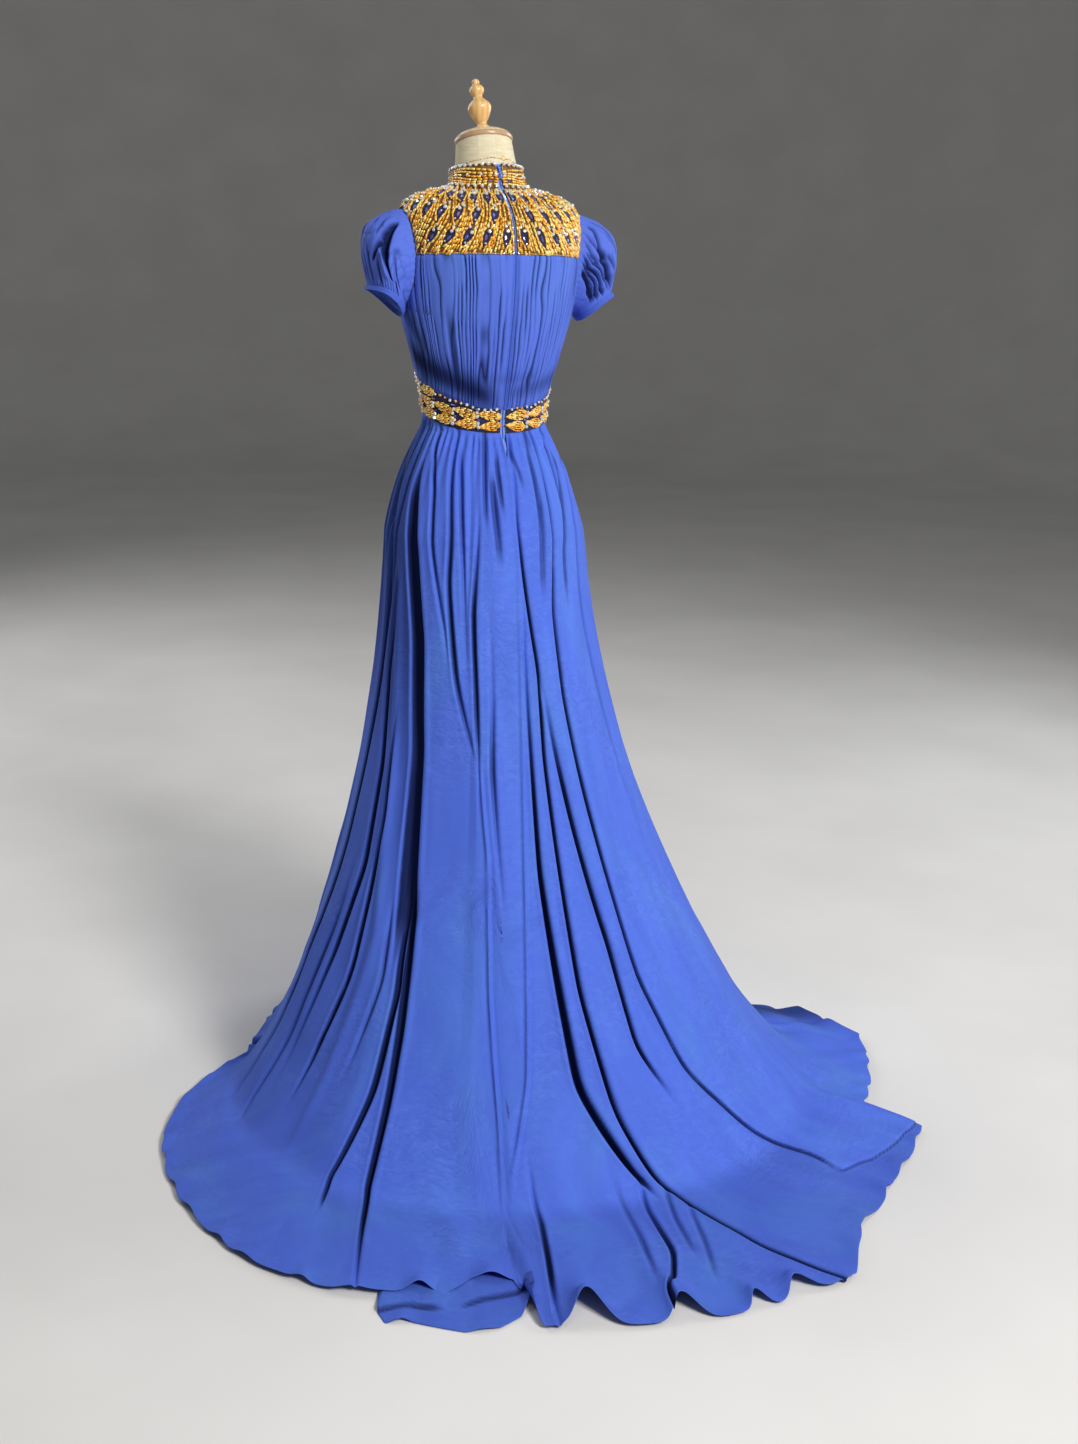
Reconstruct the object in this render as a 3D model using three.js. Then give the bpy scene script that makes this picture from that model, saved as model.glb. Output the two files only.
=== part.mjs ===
// A short-sleeved gown with a beaded yoke, a beaded waistband and a train, standing on a limbless
// dress form. Millimetres, +Z up. The gown faces -Y and its wearer's left side is +X.
// Angles round the body are in degrees: 0 at the centre back, 90 at the wearer's left side, 180 in front.
import * as THREE from 'three';

// ---------------------------------------------------------------- driving sizes
const SEAM_GAP = 0.3; // between pieces that are sewn together
const BODICE_CLOTH = 1.5;
const SKIRT_CLOTH = 1.5;
const BEADED_CLOTH = 2.0;
const BODICE_EASE = 3.4; // from the form to the inside of the bodice
const PLEAT_DEPTH = 2.2;
const ZIP_HALF_WIDTH = 9;

// Sections of the form, from its lower end up to the neck. height is the section's middle; back and
// front are its depths from its own centre, which lies at y = centre; rise is how much higher its back
// is than its front; lift raises its sides, for the shoulders.
const SECTIONS = [
  { name: 'thigh', height: 800, half: 148, back: 120, front: 112, centre: 0, rise: 0, lift: 0 },
  { name: 'seat', height: 880, half: 153, back: 130, front: 112, centre: 0, rise: 0, lift: 0 },
  { name: 'hip', height: 960, half: 149, back: 132, front: 110, centre: 0, rise: 0, lift: 0 },
  { name: 'high hip', height: 1045, half: 131, back: 113, front: 101, centre: 0, rise: 0, lift: 0 },
  { name: 'waist', height: 1130, half: 104, back: 87, front: 89, centre: 0, rise: 0, lift: 0 },
  { name: 'over waist', height: 1180, half: 102, back: 88, front: 92, centre: 0, rise: 0, lift: 0 },
  { name: 'ribs', height: 1250, half: 119, back: 103, front: 108, centre: 0, rise: 0, lift: 0 },
  { name: 'bust', height: 1320, half: 138, back: 116, front: 128, centre: 0, rise: 0, lift: 0 },
  { name: 'over bust', height: 1366, half: 145, back: 121, front: 120, centre: 0, rise: 6, lift: 0 },
  { name: 'across back', height: 1410, half: 149, back: 120, front: 103, centre: 0, rise: 10, lift: 0 },
  { name: 'armhole', height: 1448, half: 150, back: 114, front: 86, centre: -2, rise: 12, lift: 14 },
  { name: 'shoulder tip', height: 1470, half: 139, back: 102, front: 74, centre: -5, rise: 16, lift: 20 },
  { name: 'shoulder', height: 1486, half: 105, back: 84, front: 64, centre: -8, rise: 20, lift: 19 },
  { name: 'neck base', height: 1503, half: 64, back: 62, front: 54, centre: -12, rise: 26, lift: 12 },
  { name: 'collar top', height: 1546, half: 52, back: 52, front: 49, centre: -20, rise: 20, lift: 2 },
  { name: 'neck top', height: 1590, half: 46, back: 46, front: 46, centre: -33, rise: 26, lift: 0 },
];
const levelOf = (name) => SECTIONS.findIndex((section) => section.name === name);
const WAIST = levelOf('waist');
const YOKE_EDGE = levelOf('across back');
const NECK_BASE = levelOf('neck base');
const COLLAR_TOP = levelOf('collar top');
const NECK_TOP = levelOf('neck top');

// The armhole is an oval in angle and level, round the side of the body.
const ARMHOLE = { level: YOKE_EDGE, upward: 1.6, downward: 1.85, angleReach: 23 };
const PLATE_FACE = 141; // the form is cut flat here for its arm plates

// ---------------------------------------------------------------- small tools
const radians = THREE.MathUtils.degToRad;
const clamp = THREE.MathUtils.clamp;
const mix = THREE.MathUtils.lerp;

// A smooth value between the rows of a table, at a row number that need not be whole.
function betweenRows(rows, column, position) {
  const last = rows.length - 1;
  const at = clamp(position, 0, last);
  const row = Math.min(Math.floor(at), last - 1);
  const part = at - row;
  const value = (index) => rows[clamp(index, 0, last)][column];
  const [p0, p1, p2, p3] = [value(row - 1), value(row), value(row + 1), value(row + 2)];
  return 0.5 * (2 * p1 + (p2 - p0) * part + (2 * p0 - 5 * p1 + 4 * p2 - p3) * part ** 2
    + (3 * p1 - p0 - 3 * p2 + p3) * part ** 3);
}

// The level at which the middle of a section has a given height.
function levelAtHeight(height) {
  let low = 0;
  let high = SECTIONS.length - 1;
  for (let step = 0; step < 30; step += 1) {
    const middle = (low + high) / 2;
    if (betweenRows(SECTIONS, 'height', middle) < height) low = middle;
    else high = middle;
  }
  return (low + high) / 2;
}

// A closed solid from an outer and an inner grid of points with the same rows and columns.
function wall(outer, inner, roundAndRound = false) {
  const rows = outer.length;
  const columns = outer[0].length;
  const points = [...outer.flat(), ...inner.flat()];
  const index = [];
  const outside = (row, column) => row * columns + (column % columns);
  const inside = (row, column) => rows * columns + outside(row, column);
  const quad = (a, b, c, d) => index.push(a, b, c, a, c, d);
  const lastColumn = roundAndRound ? columns : columns - 1;
  for (let row = 0; row < rows - 1; row += 1) {
    for (let column = 0; column < lastColumn; column += 1) {
      quad(outside(row, column), outside(row, column + 1), outside(row + 1, column + 1),
        outside(row + 1, column));
      quad(inside(row, column), inside(row + 1, column), inside(row + 1, column + 1), inside(row, column + 1));
    }
    if (!roundAndRound) {
      quad(inside(row, 0), outside(row, 0), outside(row + 1, 0), inside(row + 1, 0));
      quad(outside(row, columns - 1), inside(row, columns - 1), inside(row + 1, columns - 1),
        outside(row + 1, columns - 1));
    }
  }
  for (let column = 0; column < lastColumn; column += 1) {
    quad(inside(0, column), inside(0, column + 1), outside(0, column + 1), outside(0, column));
    quad(outside(rows - 1, column), outside(rows - 1, column + 1), inside(rows - 1, column + 1),
      inside(rows - 1, column));
  }
  return facingOut(points, index);
}

// A closed solid from rings of points, with a flat fan at each end.
function loft(rings) {
  const count = rings[0].length;
  const points = rings.flat();
  const index = [];
  for (let row = 0; row < rings.length - 1; row += 1) {
    for (let column = 0; column < count; column += 1) {
      const next = (column + 1) % count;
      const [a, b] = [row * count + column, row * count + next];
      index.push(a, b, b + count, a, b + count, a + count);
    }
  }
  for (const [ring, turn] of [[0, true], [rings.length - 1, false]]) {
    const middle = new THREE.Vector3();
    rings[ring].forEach((point) => middle.addScaledVector(point, 1 / count));
    points.push(middle);
    for (let column = 0; column < count; column += 1) {
      const [a, b] = [ring * count + column, ring * count + ((column + 1) % count)];
      if (turn) index.push(b, a, points.length - 1);
      else index.push(a, b, points.length - 1);
    }
  }
  return facingOut(points, index);
}

// A geometry whose faces point outwards, turned over when its signed volume says that they point in.
function facingOut(points, index) {
  let volume = 0;
  for (let corner = 0; corner < index.length; corner += 3) {
    const [a, b, c] = [0, 1, 2].map((k) => points[index[corner + k]]);
    volume += a.dot(new THREE.Vector3().crossVectors(b, c));
  }
  if (volume < 0) index.reverse();
  const geometry = new THREE.BufferGeometry().setFromPoints(points);
  geometry.setIndex(index);
  geometry.computeVertexNormals();
  return geometry;
}

// Rows and columns of points: at(row fraction, column fraction) gives each one.
function grid(rowCount, columnCount, at) {
  return Array.from({ length: rowCount + 1 }, (_, row) =>
    Array.from({ length: columnCount + 1 }, (__, column) => at(row / rowCount, column / columnCount)));
}

// ---------------------------------------------------------------- the body that everything is cut for
function bodyPoint(angle, level) {
  const value = (column) => betweenRows(SECTIONS, column, level);
  const [sine, cosine] = [Math.sin(radians(angle)), Math.cos(radians(angle))];
  const depth = cosine > 0 ? value('back') : value('front');
  return new THREE.Vector3(
    value('half') * sine,
    value('centre') + depth * cosine,
    value('height') + value('rise') * cosine * 0.5 + value('lift') * sine ** 4,
  );
}

function bodyNormal(angle, level) {
  const around = bodyPoint(angle + 0.5, level).sub(bodyPoint(angle - 0.5, level));
  const top = Math.min(level + 0.02, NECK_TOP);
  const upward = bodyPoint(angle, top).sub(bodyPoint(angle, top - 0.04));
  return around.cross(upward).normalize().negate();
}

const onBody = (angle, level, offset) =>
  bodyPoint(angle, level).addScaledVector(bodyNormal(angle, level), offset);

// How far round the armhole has come, as degrees short of the side seam, at a level.
function armholeReach(level, margin) {
  const rise = level - ARMHOLE.level;
  const part = rise / (rise > 0 ? ARMHOLE.upward : ARMHOLE.downward);
  return Math.abs(part) >= 1 ? 0 : (ARMHOLE.angleReach + margin) * Math.sqrt(1 - part * part);
}

// A panel that lies over the body, between two edges, with a wall's thickness. A row is a level, or a
// function that gives the level at each angle; foot gives the exact height of the first row.
function panel({ rows, from, to, columns, offset, thickness, foot }) {
  const sheet = (lift) => rows.map((row, index) => {
    const levelAt = typeof row === 'function' ? row : () => row;
    const level = levelAt(90);
    const [start, end] = [from(level), to(level)];
    return Array.from({ length: columns + 1 }, (_, column) => {
      const angle = mix(start, end, column / columns);
      const point = onBody(angle, levelAt(angle), offset(column) + lift);
      return foot && index === 0 ? point.setZ(foot(angle)) : point;
    });
  });
  return wall(sheet(thickness), sheet(0));
}

// ---------------------------------------------------------------- waistband sizes
const BAND = { bottom: 1130, frontRise: 45, height: 39, frontExtra: 34, offset: BODICE_EASE + 0.6 };
const towardsFront = (angle) => Math.sin(radians(angle) / 2) ** 2;
const bandBottom = (angle) => BAND.bottom + BAND.frontRise * towardsFront(angle);
const bandTop = (angle) => bandBottom(angle) + BAND.height + BAND.frontExtra * towardsFront(angle);

// ---------------------------------------------------------------- yoke, bodice and collar
// The rows are shared with the sleeve's first ring, so the seams meet corner to corner.
const ARMHOLE_STEPS = 16;
const QUARTER = ARMHOLE_STEPS / 4;
function armholeLevel(step) {
  const across = Math.sin((2 * Math.PI * step) / ARMHOLE_STEPS);
  return ARMHOLE.level + across * (across > 0 ? ARMHOLE.upward : ARMHOLE.downward);
}
const OVER_SHOULDER_ROWS = [11.1, 11.6, 12.1, 12.6];
const YOKE_ROWS = [
  YOKE_EDGE + 0.008,
  ...[1, 2, 3, 4].map(armholeLevel),
  ...OVER_SHOULDER_ROWS,
  NECK_BASE - 0.03,
];
const bodiceFoot = (angle) => bandTop(angle) + SEAM_GAP;
const aboveBand = (angle) => levelAtHeight(bodiceFoot(angle));
const BODICE_ROWS = [
  aboveBand,
  (angle) => mix(aboveBand(angle), levelOf('bust') - 0.1, 0.55),
  ...Array.from({ length: QUARTER + 1 }, (_, step) => armholeLevel(step - QUARTER)),
];

// Degrees that a length takes up round the body at a level.
const asAngle = (length, level) =>
  THREE.MathUtils.radToDeg(length / bodyPoint(90, level).x);

// The edge of a panel at the side: the side seam, or the armhole where that has cut in. The mark is +1
// for the back pieces and -1 for the front, and gap is the room left to the seam's middle.
function sideEdge(side, mark, gap) {
  return (level) => side * (90 - mark * (armholeReach(level, 0.4) + asAngle(gap, level)));
}

const PLACKET = { collar: 4, yoke: 2.5, band: 5, bodice: SEAM_GAP / 2 };

function yokeBack(side) {
  return panel({
    rows: YOKE_ROWS,
    from: (level) => side * asAngle(PLACKET.yoke, level),
    to: sideEdge(side, 1, SEAM_GAP / 2),
    columns: 8,
    offset: () => BODICE_EASE,
    thickness: BEADED_CLOTH,
  });
}

function yokeFront() {
  return panel({
    rows: YOKE_ROWS,
    from: sideEdge(1, -1, SEAM_GAP / 2),
    to: (level) => 360 + sideEdge(-1, -1, SEAM_GAP / 2)(level),
    columns: 14,
    offset: () => BODICE_EASE,
    thickness: BEADED_CLOTH,
  });
}

// The gathers are a zigzag: every second column stands out by the depth of a pleat.
const gathers = (column) => BODICE_EASE + (column % 2 === 1 ? PLEAT_DEPTH : 0);

function bodiceBack(side) {
  return panel({
    rows: BODICE_ROWS,
    from: (level) => side * asAngle(PLACKET.bodice, level),
    to: sideEdge(side, 1, SEAM_GAP / 2),
    columns: 22,
    offset: gathers,
    thickness: BODICE_CLOTH,
    foot: bodiceFoot,
  });
}

function bodiceFront() {
  return panel({
    rows: BODICE_ROWS,
    from: sideEdge(1, -1, SEAM_GAP / 2),
    to: (level) => 360 + sideEdge(-1, -1, SEAM_GAP / 2)(level),
    columns: 30,
    offset: gathers,
    thickness: BODICE_CLOTH,
    foot: bodiceFoot,
  });
}

function collarHalf(side) {
  return panel({
    rows: [0.03, 0.28, 0.52, 0.76, 1].map((part) => mix(NECK_BASE, COLLAR_TOP, part)),
    from: (level) => side * asAngle(PLACKET.collar, level),
    to: (level) => side * (180 - asAngle(SEAM_GAP / 2, level)),
    columns: 12,
    offset: () => BODICE_EASE,
    thickness: BEADED_CLOTH,
  });
}

// ---------------------------------------------------------------- waistband
function waistband(from, to, columns) {
  const sheet = (lift) => grid(1, columns, (up, along) => {
    const angle = mix(from, to, along);
    const height = mix(bandBottom(angle), bandTop(angle), up);
    return onBody(angle, levelAtHeight(height), BAND.offset + lift).setZ(height);
  });
  return wall(sheet(BEADED_CLOTH), sheet(0));
}

// ---------------------------------------------------------------- sleeves
const CUFF = { y: 2, outward: 36, fore: 46, slope: 36, arch: 10, band: 9 };
const SLEEVES = {
  left: { side: 1, cuffOut: 177, cuffHeight: 1341 },
  right: { side: -1, cuffOut: 190, cuffHeight: 1337 },
};
const PUFF = { out: 40, up: 16, fore: 14 };
const SLEEVE_GATHER = 1.3;

// The oval of the cuff, at a turn measured like the armhole's: 0 in front, 90 on top, 180 at the back.
function cuffPoint(sleeveSizes, turn, drop, grow) {
  const [across, along] = [Math.sin(radians(turn)), Math.cos(radians(turn))];
  const [tilt, lean] = [Math.cos(radians(CUFF.slope)), Math.sin(radians(CUFF.slope))];
  return new THREE.Vector3(
    sleeveSizes.cuffOut + (CUFF.outward + grow) * across * tilt + drop * lean,
    CUFF.y - (CUFF.fore + grow) * along,
    sleeveSizes.cuffHeight + (CUFF.outward + grow) * across * lean + CUFF.arch * along ** 2 - drop * tilt,
  );
}

// The sleeve's first ring follows the armhole, a seam's gap inside the yoke and bodice.
function armholePoint(turn, offset) {
  const [across, along] = [Math.sin(radians(turn)), Math.cos(radians(turn))];
  const shrink = 0.985;
  const level = ARMHOLE.level + shrink * across * (across > 0 ? ARMHOLE.upward : ARMHOLE.downward);
  return onBody(90 + ARMHOLE.angleReach * shrink * along, level, offset);
}

function sleevePoint(sleeveSizes, step, down, lift) {
  const turn = (step * 360) / ARMHOLE_STEPS;
  const seam = armholePoint(turn, BODICE_EASE + BODICE_CLOTH / 2);
  const hem = cuffPoint(sleeveSizes, turn, 0, 0);
  const swell = Math.sin(Math.PI * down ** 0.8) * (0.55 + 0.45 * Math.sin(radians(turn)));
  const gather = SLEEVE_GATHER * (step % 2 === 1 ? 1 : -1) * Math.sin(Math.PI * down);
  const outward = new THREE.Vector3(
    0.35 + 0.65 * Math.abs(Math.sin(radians(turn))),
    -Math.cos(radians(turn)),
    Math.sin(radians(turn)),
  ).normalize();
  return seam.lerp(hem, down)
    .add(new THREE.Vector3(PUFF.out * swell, -PUFF.fore * swell * Math.cos(radians(turn)), PUFF.up * swell))
    .addScaledVector(outward, lift + gather);
}

const mirrored = (point, side) => (point.setX(point.x * side), point);

function sleeve(sleeveSizes) {
  const rows = [0, 0.1, 0.24, 0.4, 0.58, 0.76, 0.9, 1];
  const sheet = (lift) => rows.map((down) => Array.from({ length: ARMHOLE_STEPS }, (_, step) =>
    mirrored(sleevePoint(sleeveSizes, step, down, lift), sleeveSizes.side)));
  return wall(sheet(BODICE_CLOTH), sheet(0), true);
}

function cuff(sleeveSizes) {
  const turnOf = (step) => (step * 360) / ARMHOLE_STEPS;
  const sheet = (grow) => [SEAM_GAP + BODICE_CLOTH, CUFF.band].map((drop) =>
    Array.from({ length: ARMHOLE_STEPS }, (_, step) =>
      mirrored(cuffPoint(sleeveSizes, turnOf(step), drop, grow), sleeveSizes.side)));
  return wall(sheet(BODICE_CLOTH), sheet(0), true);
}

// ---------------------------------------------------------------- skirt
// A meridian of the skirt hangs from the waistband, swings outward and lands on the floor. Each row is a
// direction: landing is how far out the cloth would meet the floor, hem how far out it ends, and power
// how late it swings out. Directions are degrees towards the wearer's left of the centre back.
const REACHES = [
  { direction: -180, landing: 345, hem: 335, power: 2.4 },
  { direction: -150, landing: 350, hem: 345, power: 2.4 },
  { direction: -125, landing: 375, hem: 375, power: 2.4 },
  { direction: -105, landing: 425, hem: 430, power: 2.3 },
  { direction: -92, landing: 450, hem: 490, power: 2.2 },
  { direction: -84, landing: 480, hem: 560, power: 2.1 },
  { direction: -77, landing: 510, hem: 655, power: 2.05 },
  { direction: -68, landing: 540, hem: 742, power: 1.95 },
  { direction: -52, landing: 590, hem: 732, power: 1.9 },
  { direction: -47, landing: 615, hem: 750, power: 1.95 },
  { direction: -43, landing: 620, hem: 838, power: 1.9 },
  { direction: -30, landing: 640, hem: 845, power: 1.8 },
  { direction: -18, landing: 650, hem: 945, power: 1.7 },
  { direction: 0, landing: 650, hem: 936, power: 1.7 },
  { direction: 11, landing: 650, hem: 915, power: 1.7 },
  { direction: 15, landing: 645, hem: 795, power: 1.7 },
  { direction: 27, landing: 635, hem: 830, power: 1.8 },
  { direction: 34, landing: 620, hem: 845, power: 1.8 },
  { direction: 47, landing: 590, hem: 792, power: 1.9 },
  { direction: 60, landing: 540, hem: 705, power: 2.1 },
  { direction: 70, landing: 490, hem: 640, power: 2.2 },
  { direction: 80, landing: 440, hem: 556, power: 2.3 },
  { direction: 94, landing: 385, hem: 420, power: 2.4 },
  { direction: 111, landing: 365, hem: 388, power: 2.4 },
  { direction: 135, landing: 355, hem: 352, power: 2.4 },
  { direction: 180, landing: 345, hem: 335, power: 2.4 },
];
const FLOOR_CLOTH = 5; // the height of the outer face of cloth that lies on the floor
const LANDING_ROUND = 40; // the softness of the bend where the cloth meets the floor
const HIP_LEVEL = levelOf('hip');
const SKIRT_EASE = { waist: 4.2, hip: 17 };

// The largest folds. Each runs from its angle at the waist, through its angle at knee height, to its
// angle at the hem; width is in degrees; depth is in mm, less than nothing for a valley.
const FOLDS = [
  { name: 'left side valley', waist: 60, knee: 34, hem: 37, width: 4.5, depth: -34 },
  { name: 'left panel edge', waist: 52, knee: 29, hem: 30, width: 4, depth: -16 },
  { name: 'left side fold', waist: 66, knee: 46, hem: 48, width: 5, depth: -22 },
  { name: 'left hip fold', waist: 80, knee: 60, hem: 62, width: 6, depth: -18 },
  { name: 'left front fold', waist: 98, knee: 88, hem: 90, width: 7, depth: -16 },
  { name: 'back left ridge', waist: 20, knee: 15, hem: 13, width: 4, depth: 14 },
  { name: 'centre back valley', waist: 0, knee: 0.5, hem: -4, width: 3, depth: -26 },
  { name: 'back right ridge', waist: -5, knee: -2, hem: -7, width: 3, depth: 12 },
  { name: 'back right valley', waist: -12, knee: -5, hem: -14, width: 3.5, depth: -28 },
  { name: 'short right valley', waist: -26, knee: -13, hem: -20, width: 4, depth: -24 },
  { name: 'right train fold', waist: -40, knee: -20, hem: -33, width: 4.5, depth: -30 },
  { name: 'right side fold', waist: -58, knee: -42, hem: -52, width: 6, depth: -24 },
  { name: 'right hip fold', waist: -80, knee: -70, hem: -74, width: 6, depth: -20 },
  { name: 'right front fold', waist: -102, knee: -98, hem: -98, width: 7, depth: -16 },
  { name: 'front left fold', waist: 128, knee: 130, hem: 131, width: 8, depth: -14 },
  { name: 'front middle fold', waist: 172, knee: 171, hem: 170, width: 9, depth: -14 },
  { name: 'front right fold', waist: -136, knee: -138, hem: -139, width: 8, depth: -14 },
];
const KNEE = 0.45; // how far down the skirt the knee lies

const through = (a, b, c, down) => {
  const early = down / KNEE;
  return down < KNEE ? mix(a, b, early * (2 - early)) : mix(b, c, (down - KNEE) / (1 - KNEE));
};

function reachAt(direction, column) {
  const turned = ((((direction + 180) % 360) + 360) % 360) - 180;
  const next = clamp(REACHES.findIndex((row) => row.direction >= turned), 1, REACHES.length - 1);
  const [a, b] = [REACHES[next - 1], REACHES[next]];
  return mix(a[column], b[column], (turned - a.direction) / (b.direction - a.direction));
}

// Where the skirt lies round the waist and hips, seen from above.
function hipPoint(direction, level) {
  const nearWaist = clamp((level - HIP_LEVEL) / (WAIST - HIP_LEVEL), 0, 1);
  const point = bodyPoint(direction, level).setZ(0);
  return point.setLength(point.length() + mix(SKIRT_EASE.hip, SKIRT_EASE.waist, nearWaist ** 4));
}

// The smooth form of the skirt, before its folds. down runs from 0 at the waistband to 1 at the hem.
function skirtForm(direction, down) {
  const top = bandBottom(direction) - SEAM_GAP;
  const [landing, hem, power] = ['landing', 'hem', 'power'].map((column) => reachAt(direction, column));
  const hip = hipPoint(direction, HIP_LEVEL).length();
  const longest = ((hem - hip) / (landing - hip)) ** (1 / power);
  const fall = down * longest;
  const hanging = top * (1 - fall);
  const hugging = hipPoint(direction, clamp(levelAtHeight(hanging), HIP_LEVEL, NECK_TOP));
  const reach = hugging.length() + (landing - hip) * fall ** power;
  const overFloor = hanging - FLOOR_CLOTH;
  const settled = FLOOR_CLOTH + 0.5 * (overFloor + Math.hypot(overFloor, LANDING_ROUND));
  const height = mix(settled, hanging, clamp((hanging - 200) / 200, 0, 1));
  return new THREE.Vector3(hugging.x, hugging.y, 0).setLength(reach).setZ(height);
}

function skirtNormal(direction, down) {
  const around = skirtForm(direction + 0.5, down).sub(skirtForm(direction - 0.5, down));
  const start = clamp(down - 0.01, 0, 0.98);
  const downward = skirtForm(direction, start + 0.02).sub(skirtForm(direction, start));
  return around.cross(downward).normalize();
}

function foldDepth(direction, down) {
  const grown = Math.min(1, down / 0.35) ** 1.2;
  let depth = 0;
  for (const fold of FOLDS) {
    const middle = through(fold.waist, fold.knee, fold.hem, down);
    const away = (((direction - middle + 540) % 360) - 180) / fold.width;
    depth += fold.depth * grown * Math.exp(-away * away);
  }
  return depth;
}

function skirtPoint(direction, down, inward) {
  const normal = skirtNormal(direction, down);
  const point = skirtForm(direction, down).addScaledVector(normal, foldDepth(direction, down));
  point.z = Math.max(point.z, FLOOR_CLOTH);
  point.addScaledVector(normal, -inward);
  point.z = Math.min(point.z, bandBottom(direction) - SEAM_GAP);
  return point;
}

// The skirt's seams, by their angles at the waist, the knee and the hem.
const SEAMS = {
  centreBack: { waist: 0, knee: 0, hem: 0 },
  backLeft: { waist: 60, knee: 36, hem: 39 },
  backRight: { waist: -60, knee: -44, hem: -54 },
  frontLeft: { waist: 112, knee: 112, hem: 112 },
  frontRight: { waist: -112, knee: -112, hem: -112 },
};

function skirtPanel(fromSeam, toSeam, columns, turn = 0) {
  const rows = [0, 0.06, 0.15, 0.26, 0.38, 0.5, 0.61, 0.71, 0.8, 0.87, 0.93, 1];
  const seamAngle = (seam, down) => through(seam.waist, seam.knee, seam.hem, down);
  const sheet = (inward) => rows.map((down) => {
    const [start, end] = [seamAngle(fromSeam, down), seamAngle(toSeam, down) + turn];
    const halfGap = (angle) => {
      const point = skirtForm(angle, down);
      return THREE.MathUtils.radToDeg((SEAM_GAP * 0.5) / Math.hypot(point.x, point.y));
    };
    const towards = Math.sign(end - start);
    const [first, last] = [start + towards * halfGap(start), end - towards * halfGap(end)];
    return Array.from({ length: columns + 1 }, (_, column) =>
      skirtPoint(mix(first, last, column / columns), down, inward));
  });
  return wall(sheet(0), sheet(SKIRT_CLOTH));
}

// The under-layer shows as a strip past the hem, flat on the floor.
const UNDER_HEM = { from: 13.5, to: 30.5, inside: 690, outside: 916, taper: 16, top: 3.2 };

function underskirtHem() {
  const sheet = (height) => grid(3, 6, (out, along) => {
    const bearing = radians(mix(UNDER_HEM.from, UNDER_HEM.to, along));
    const reach = mix(UNDER_HEM.inside, UNDER_HEM.outside - UNDER_HEM.taper * along ** 3, out);
    return new THREE.Vector3(reach * Math.sin(bearing), reach * Math.cos(bearing), height);
  });
  return wall(sheet(UNDER_HEM.top), sheet(UNDER_HEM.top - SKIRT_CLOTH));
}

// ---------------------------------------------------------------- zip
const ZIP = { tapeOffset: 0.8, tapeThickness: 1.2, slider: 9, pull: 20, pullThickness: 1.2 };
const SLIDER = { half: 3, base: 1.6, hingeRise: 3.2, overHinge: 1.2, cheek: 1.1, seat: 0.4 };
const ZIP_TOP = COLLAR_TOP - 0.02;
const ZIP_BOTTOM = WAIST - 0.55;

function zipTape() {
  return panel({
    rows: Array.from({ length: 22 }, (_, row) => mix(ZIP_BOTTOM, ZIP_TOP, row / 21)),
    from: (level) => -asAngle(ZIP_HALF_WIDTH, level),
    to: (level) => asAngle(ZIP_HALF_WIDTH, level),
    columns: 2,
    offset: () => ZIP.tapeOffset,
    thickness: ZIP.tapeThickness,
  });
}

// The slider and its pull are built lying along Z, with their outer faces towards +Y, about the hinge.
const HINGE = {
  level: ZIP_TOP - 0.16,
  offset: ZIP.tapeOffset + ZIP.tapeThickness + SLIDER.seat + SLIDER.base + SLIDER.hingeRise,
};

function zipSlider() {
  const inner = SLIDER.half - SLIDER.cheek;
  const top = SLIDER.base + SLIDER.hingeRise + SLIDER.overHinge;
  const profile = new THREE.Shape([
    [-SLIDER.half, 0], [SLIDER.half, 0], [SLIDER.half, top], [inner, top], [inner, SLIDER.base],
    [-inner, SLIDER.base], [-inner, top], [-SLIDER.half, top],
  ].map(([x, y]) => new THREE.Vector2(x, y)));
  const geometry = new THREE.ExtrudeGeometry(profile, { depth: ZIP.slider, bevelEnabled: false });
  return geometry.translate(0, -SLIDER.base - SLIDER.hingeRise, -ZIP.slider / 2);
}

// The pull hangs from its narrow neck, which turns between the slider's cheeks.
function zipPull() {
  const neck = SLIDER.half - SLIDER.cheek - SEAM_GAP;
  const [wide, shoulder, overHinge] = [3.6, -5.5, 0.9];
  const round = wide + overHinge - ZIP.pull;
  const outline = new THREE.Shape();
  outline.moveTo(-neck, overHinge);
  outline.lineTo(-neck, shoulder);
  outline.lineTo(-wide, shoulder - 5);
  outline.lineTo(-wide, round);
  outline.absarc(0, round, wide, Math.PI, 2 * Math.PI, false);
  outline.lineTo(wide, shoulder - 5);
  outline.lineTo(neck, shoulder);
  outline.lineTo(neck, overHinge);
  outline.closePath();
  const geometry = new THREE.ExtrudeGeometry(outline, {
    depth: ZIP.pullThickness, bevelEnabled: false, curveSegments: 8,
  });
  return geometry.translate(0, 0, -ZIP.pullThickness / 2).rotateX(Math.PI / 2);
}

// ---------------------------------------------------------------- dress form
function formTorso() {
  const levels = Array.from({ length: 2 * NECK_TOP + 1 }, (_, row) => row / 2);
  const rings = levels.map((level) => Array.from({ length: 36 }, (_, step) => {
    const point = bodyPoint(step * 10, level);
    point.x = clamp(point.x, -PLATE_FACE, PLATE_FACE);
    return point;
  }));
  return loft(rings);
}

const PLATE = { height: 1380, fore: 31, up: 42, thickness: 22, centre: -2, edge: 3, faceShare: 0.94 };

function armPlate(side) {
  const rings = [0, PLATE.thickness - PLATE.edge, PLATE.thickness].map((out, ring) =>
    Array.from({ length: 28 }, (_, step) => {
      const turn = (step / 28) * 2 * Math.PI;
      const size = ring === 2 ? PLATE.faceShare : 1;
      return new THREE.Vector3(
        side * (PLATE_FACE + SEAM_GAP + out),
        PLATE.centre + PLATE.fore * size * Math.cos(turn),
        PLATE.height + PLATE.up * size * Math.sin(turn),
      );
    }));
  return loft(rings);
}

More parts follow.
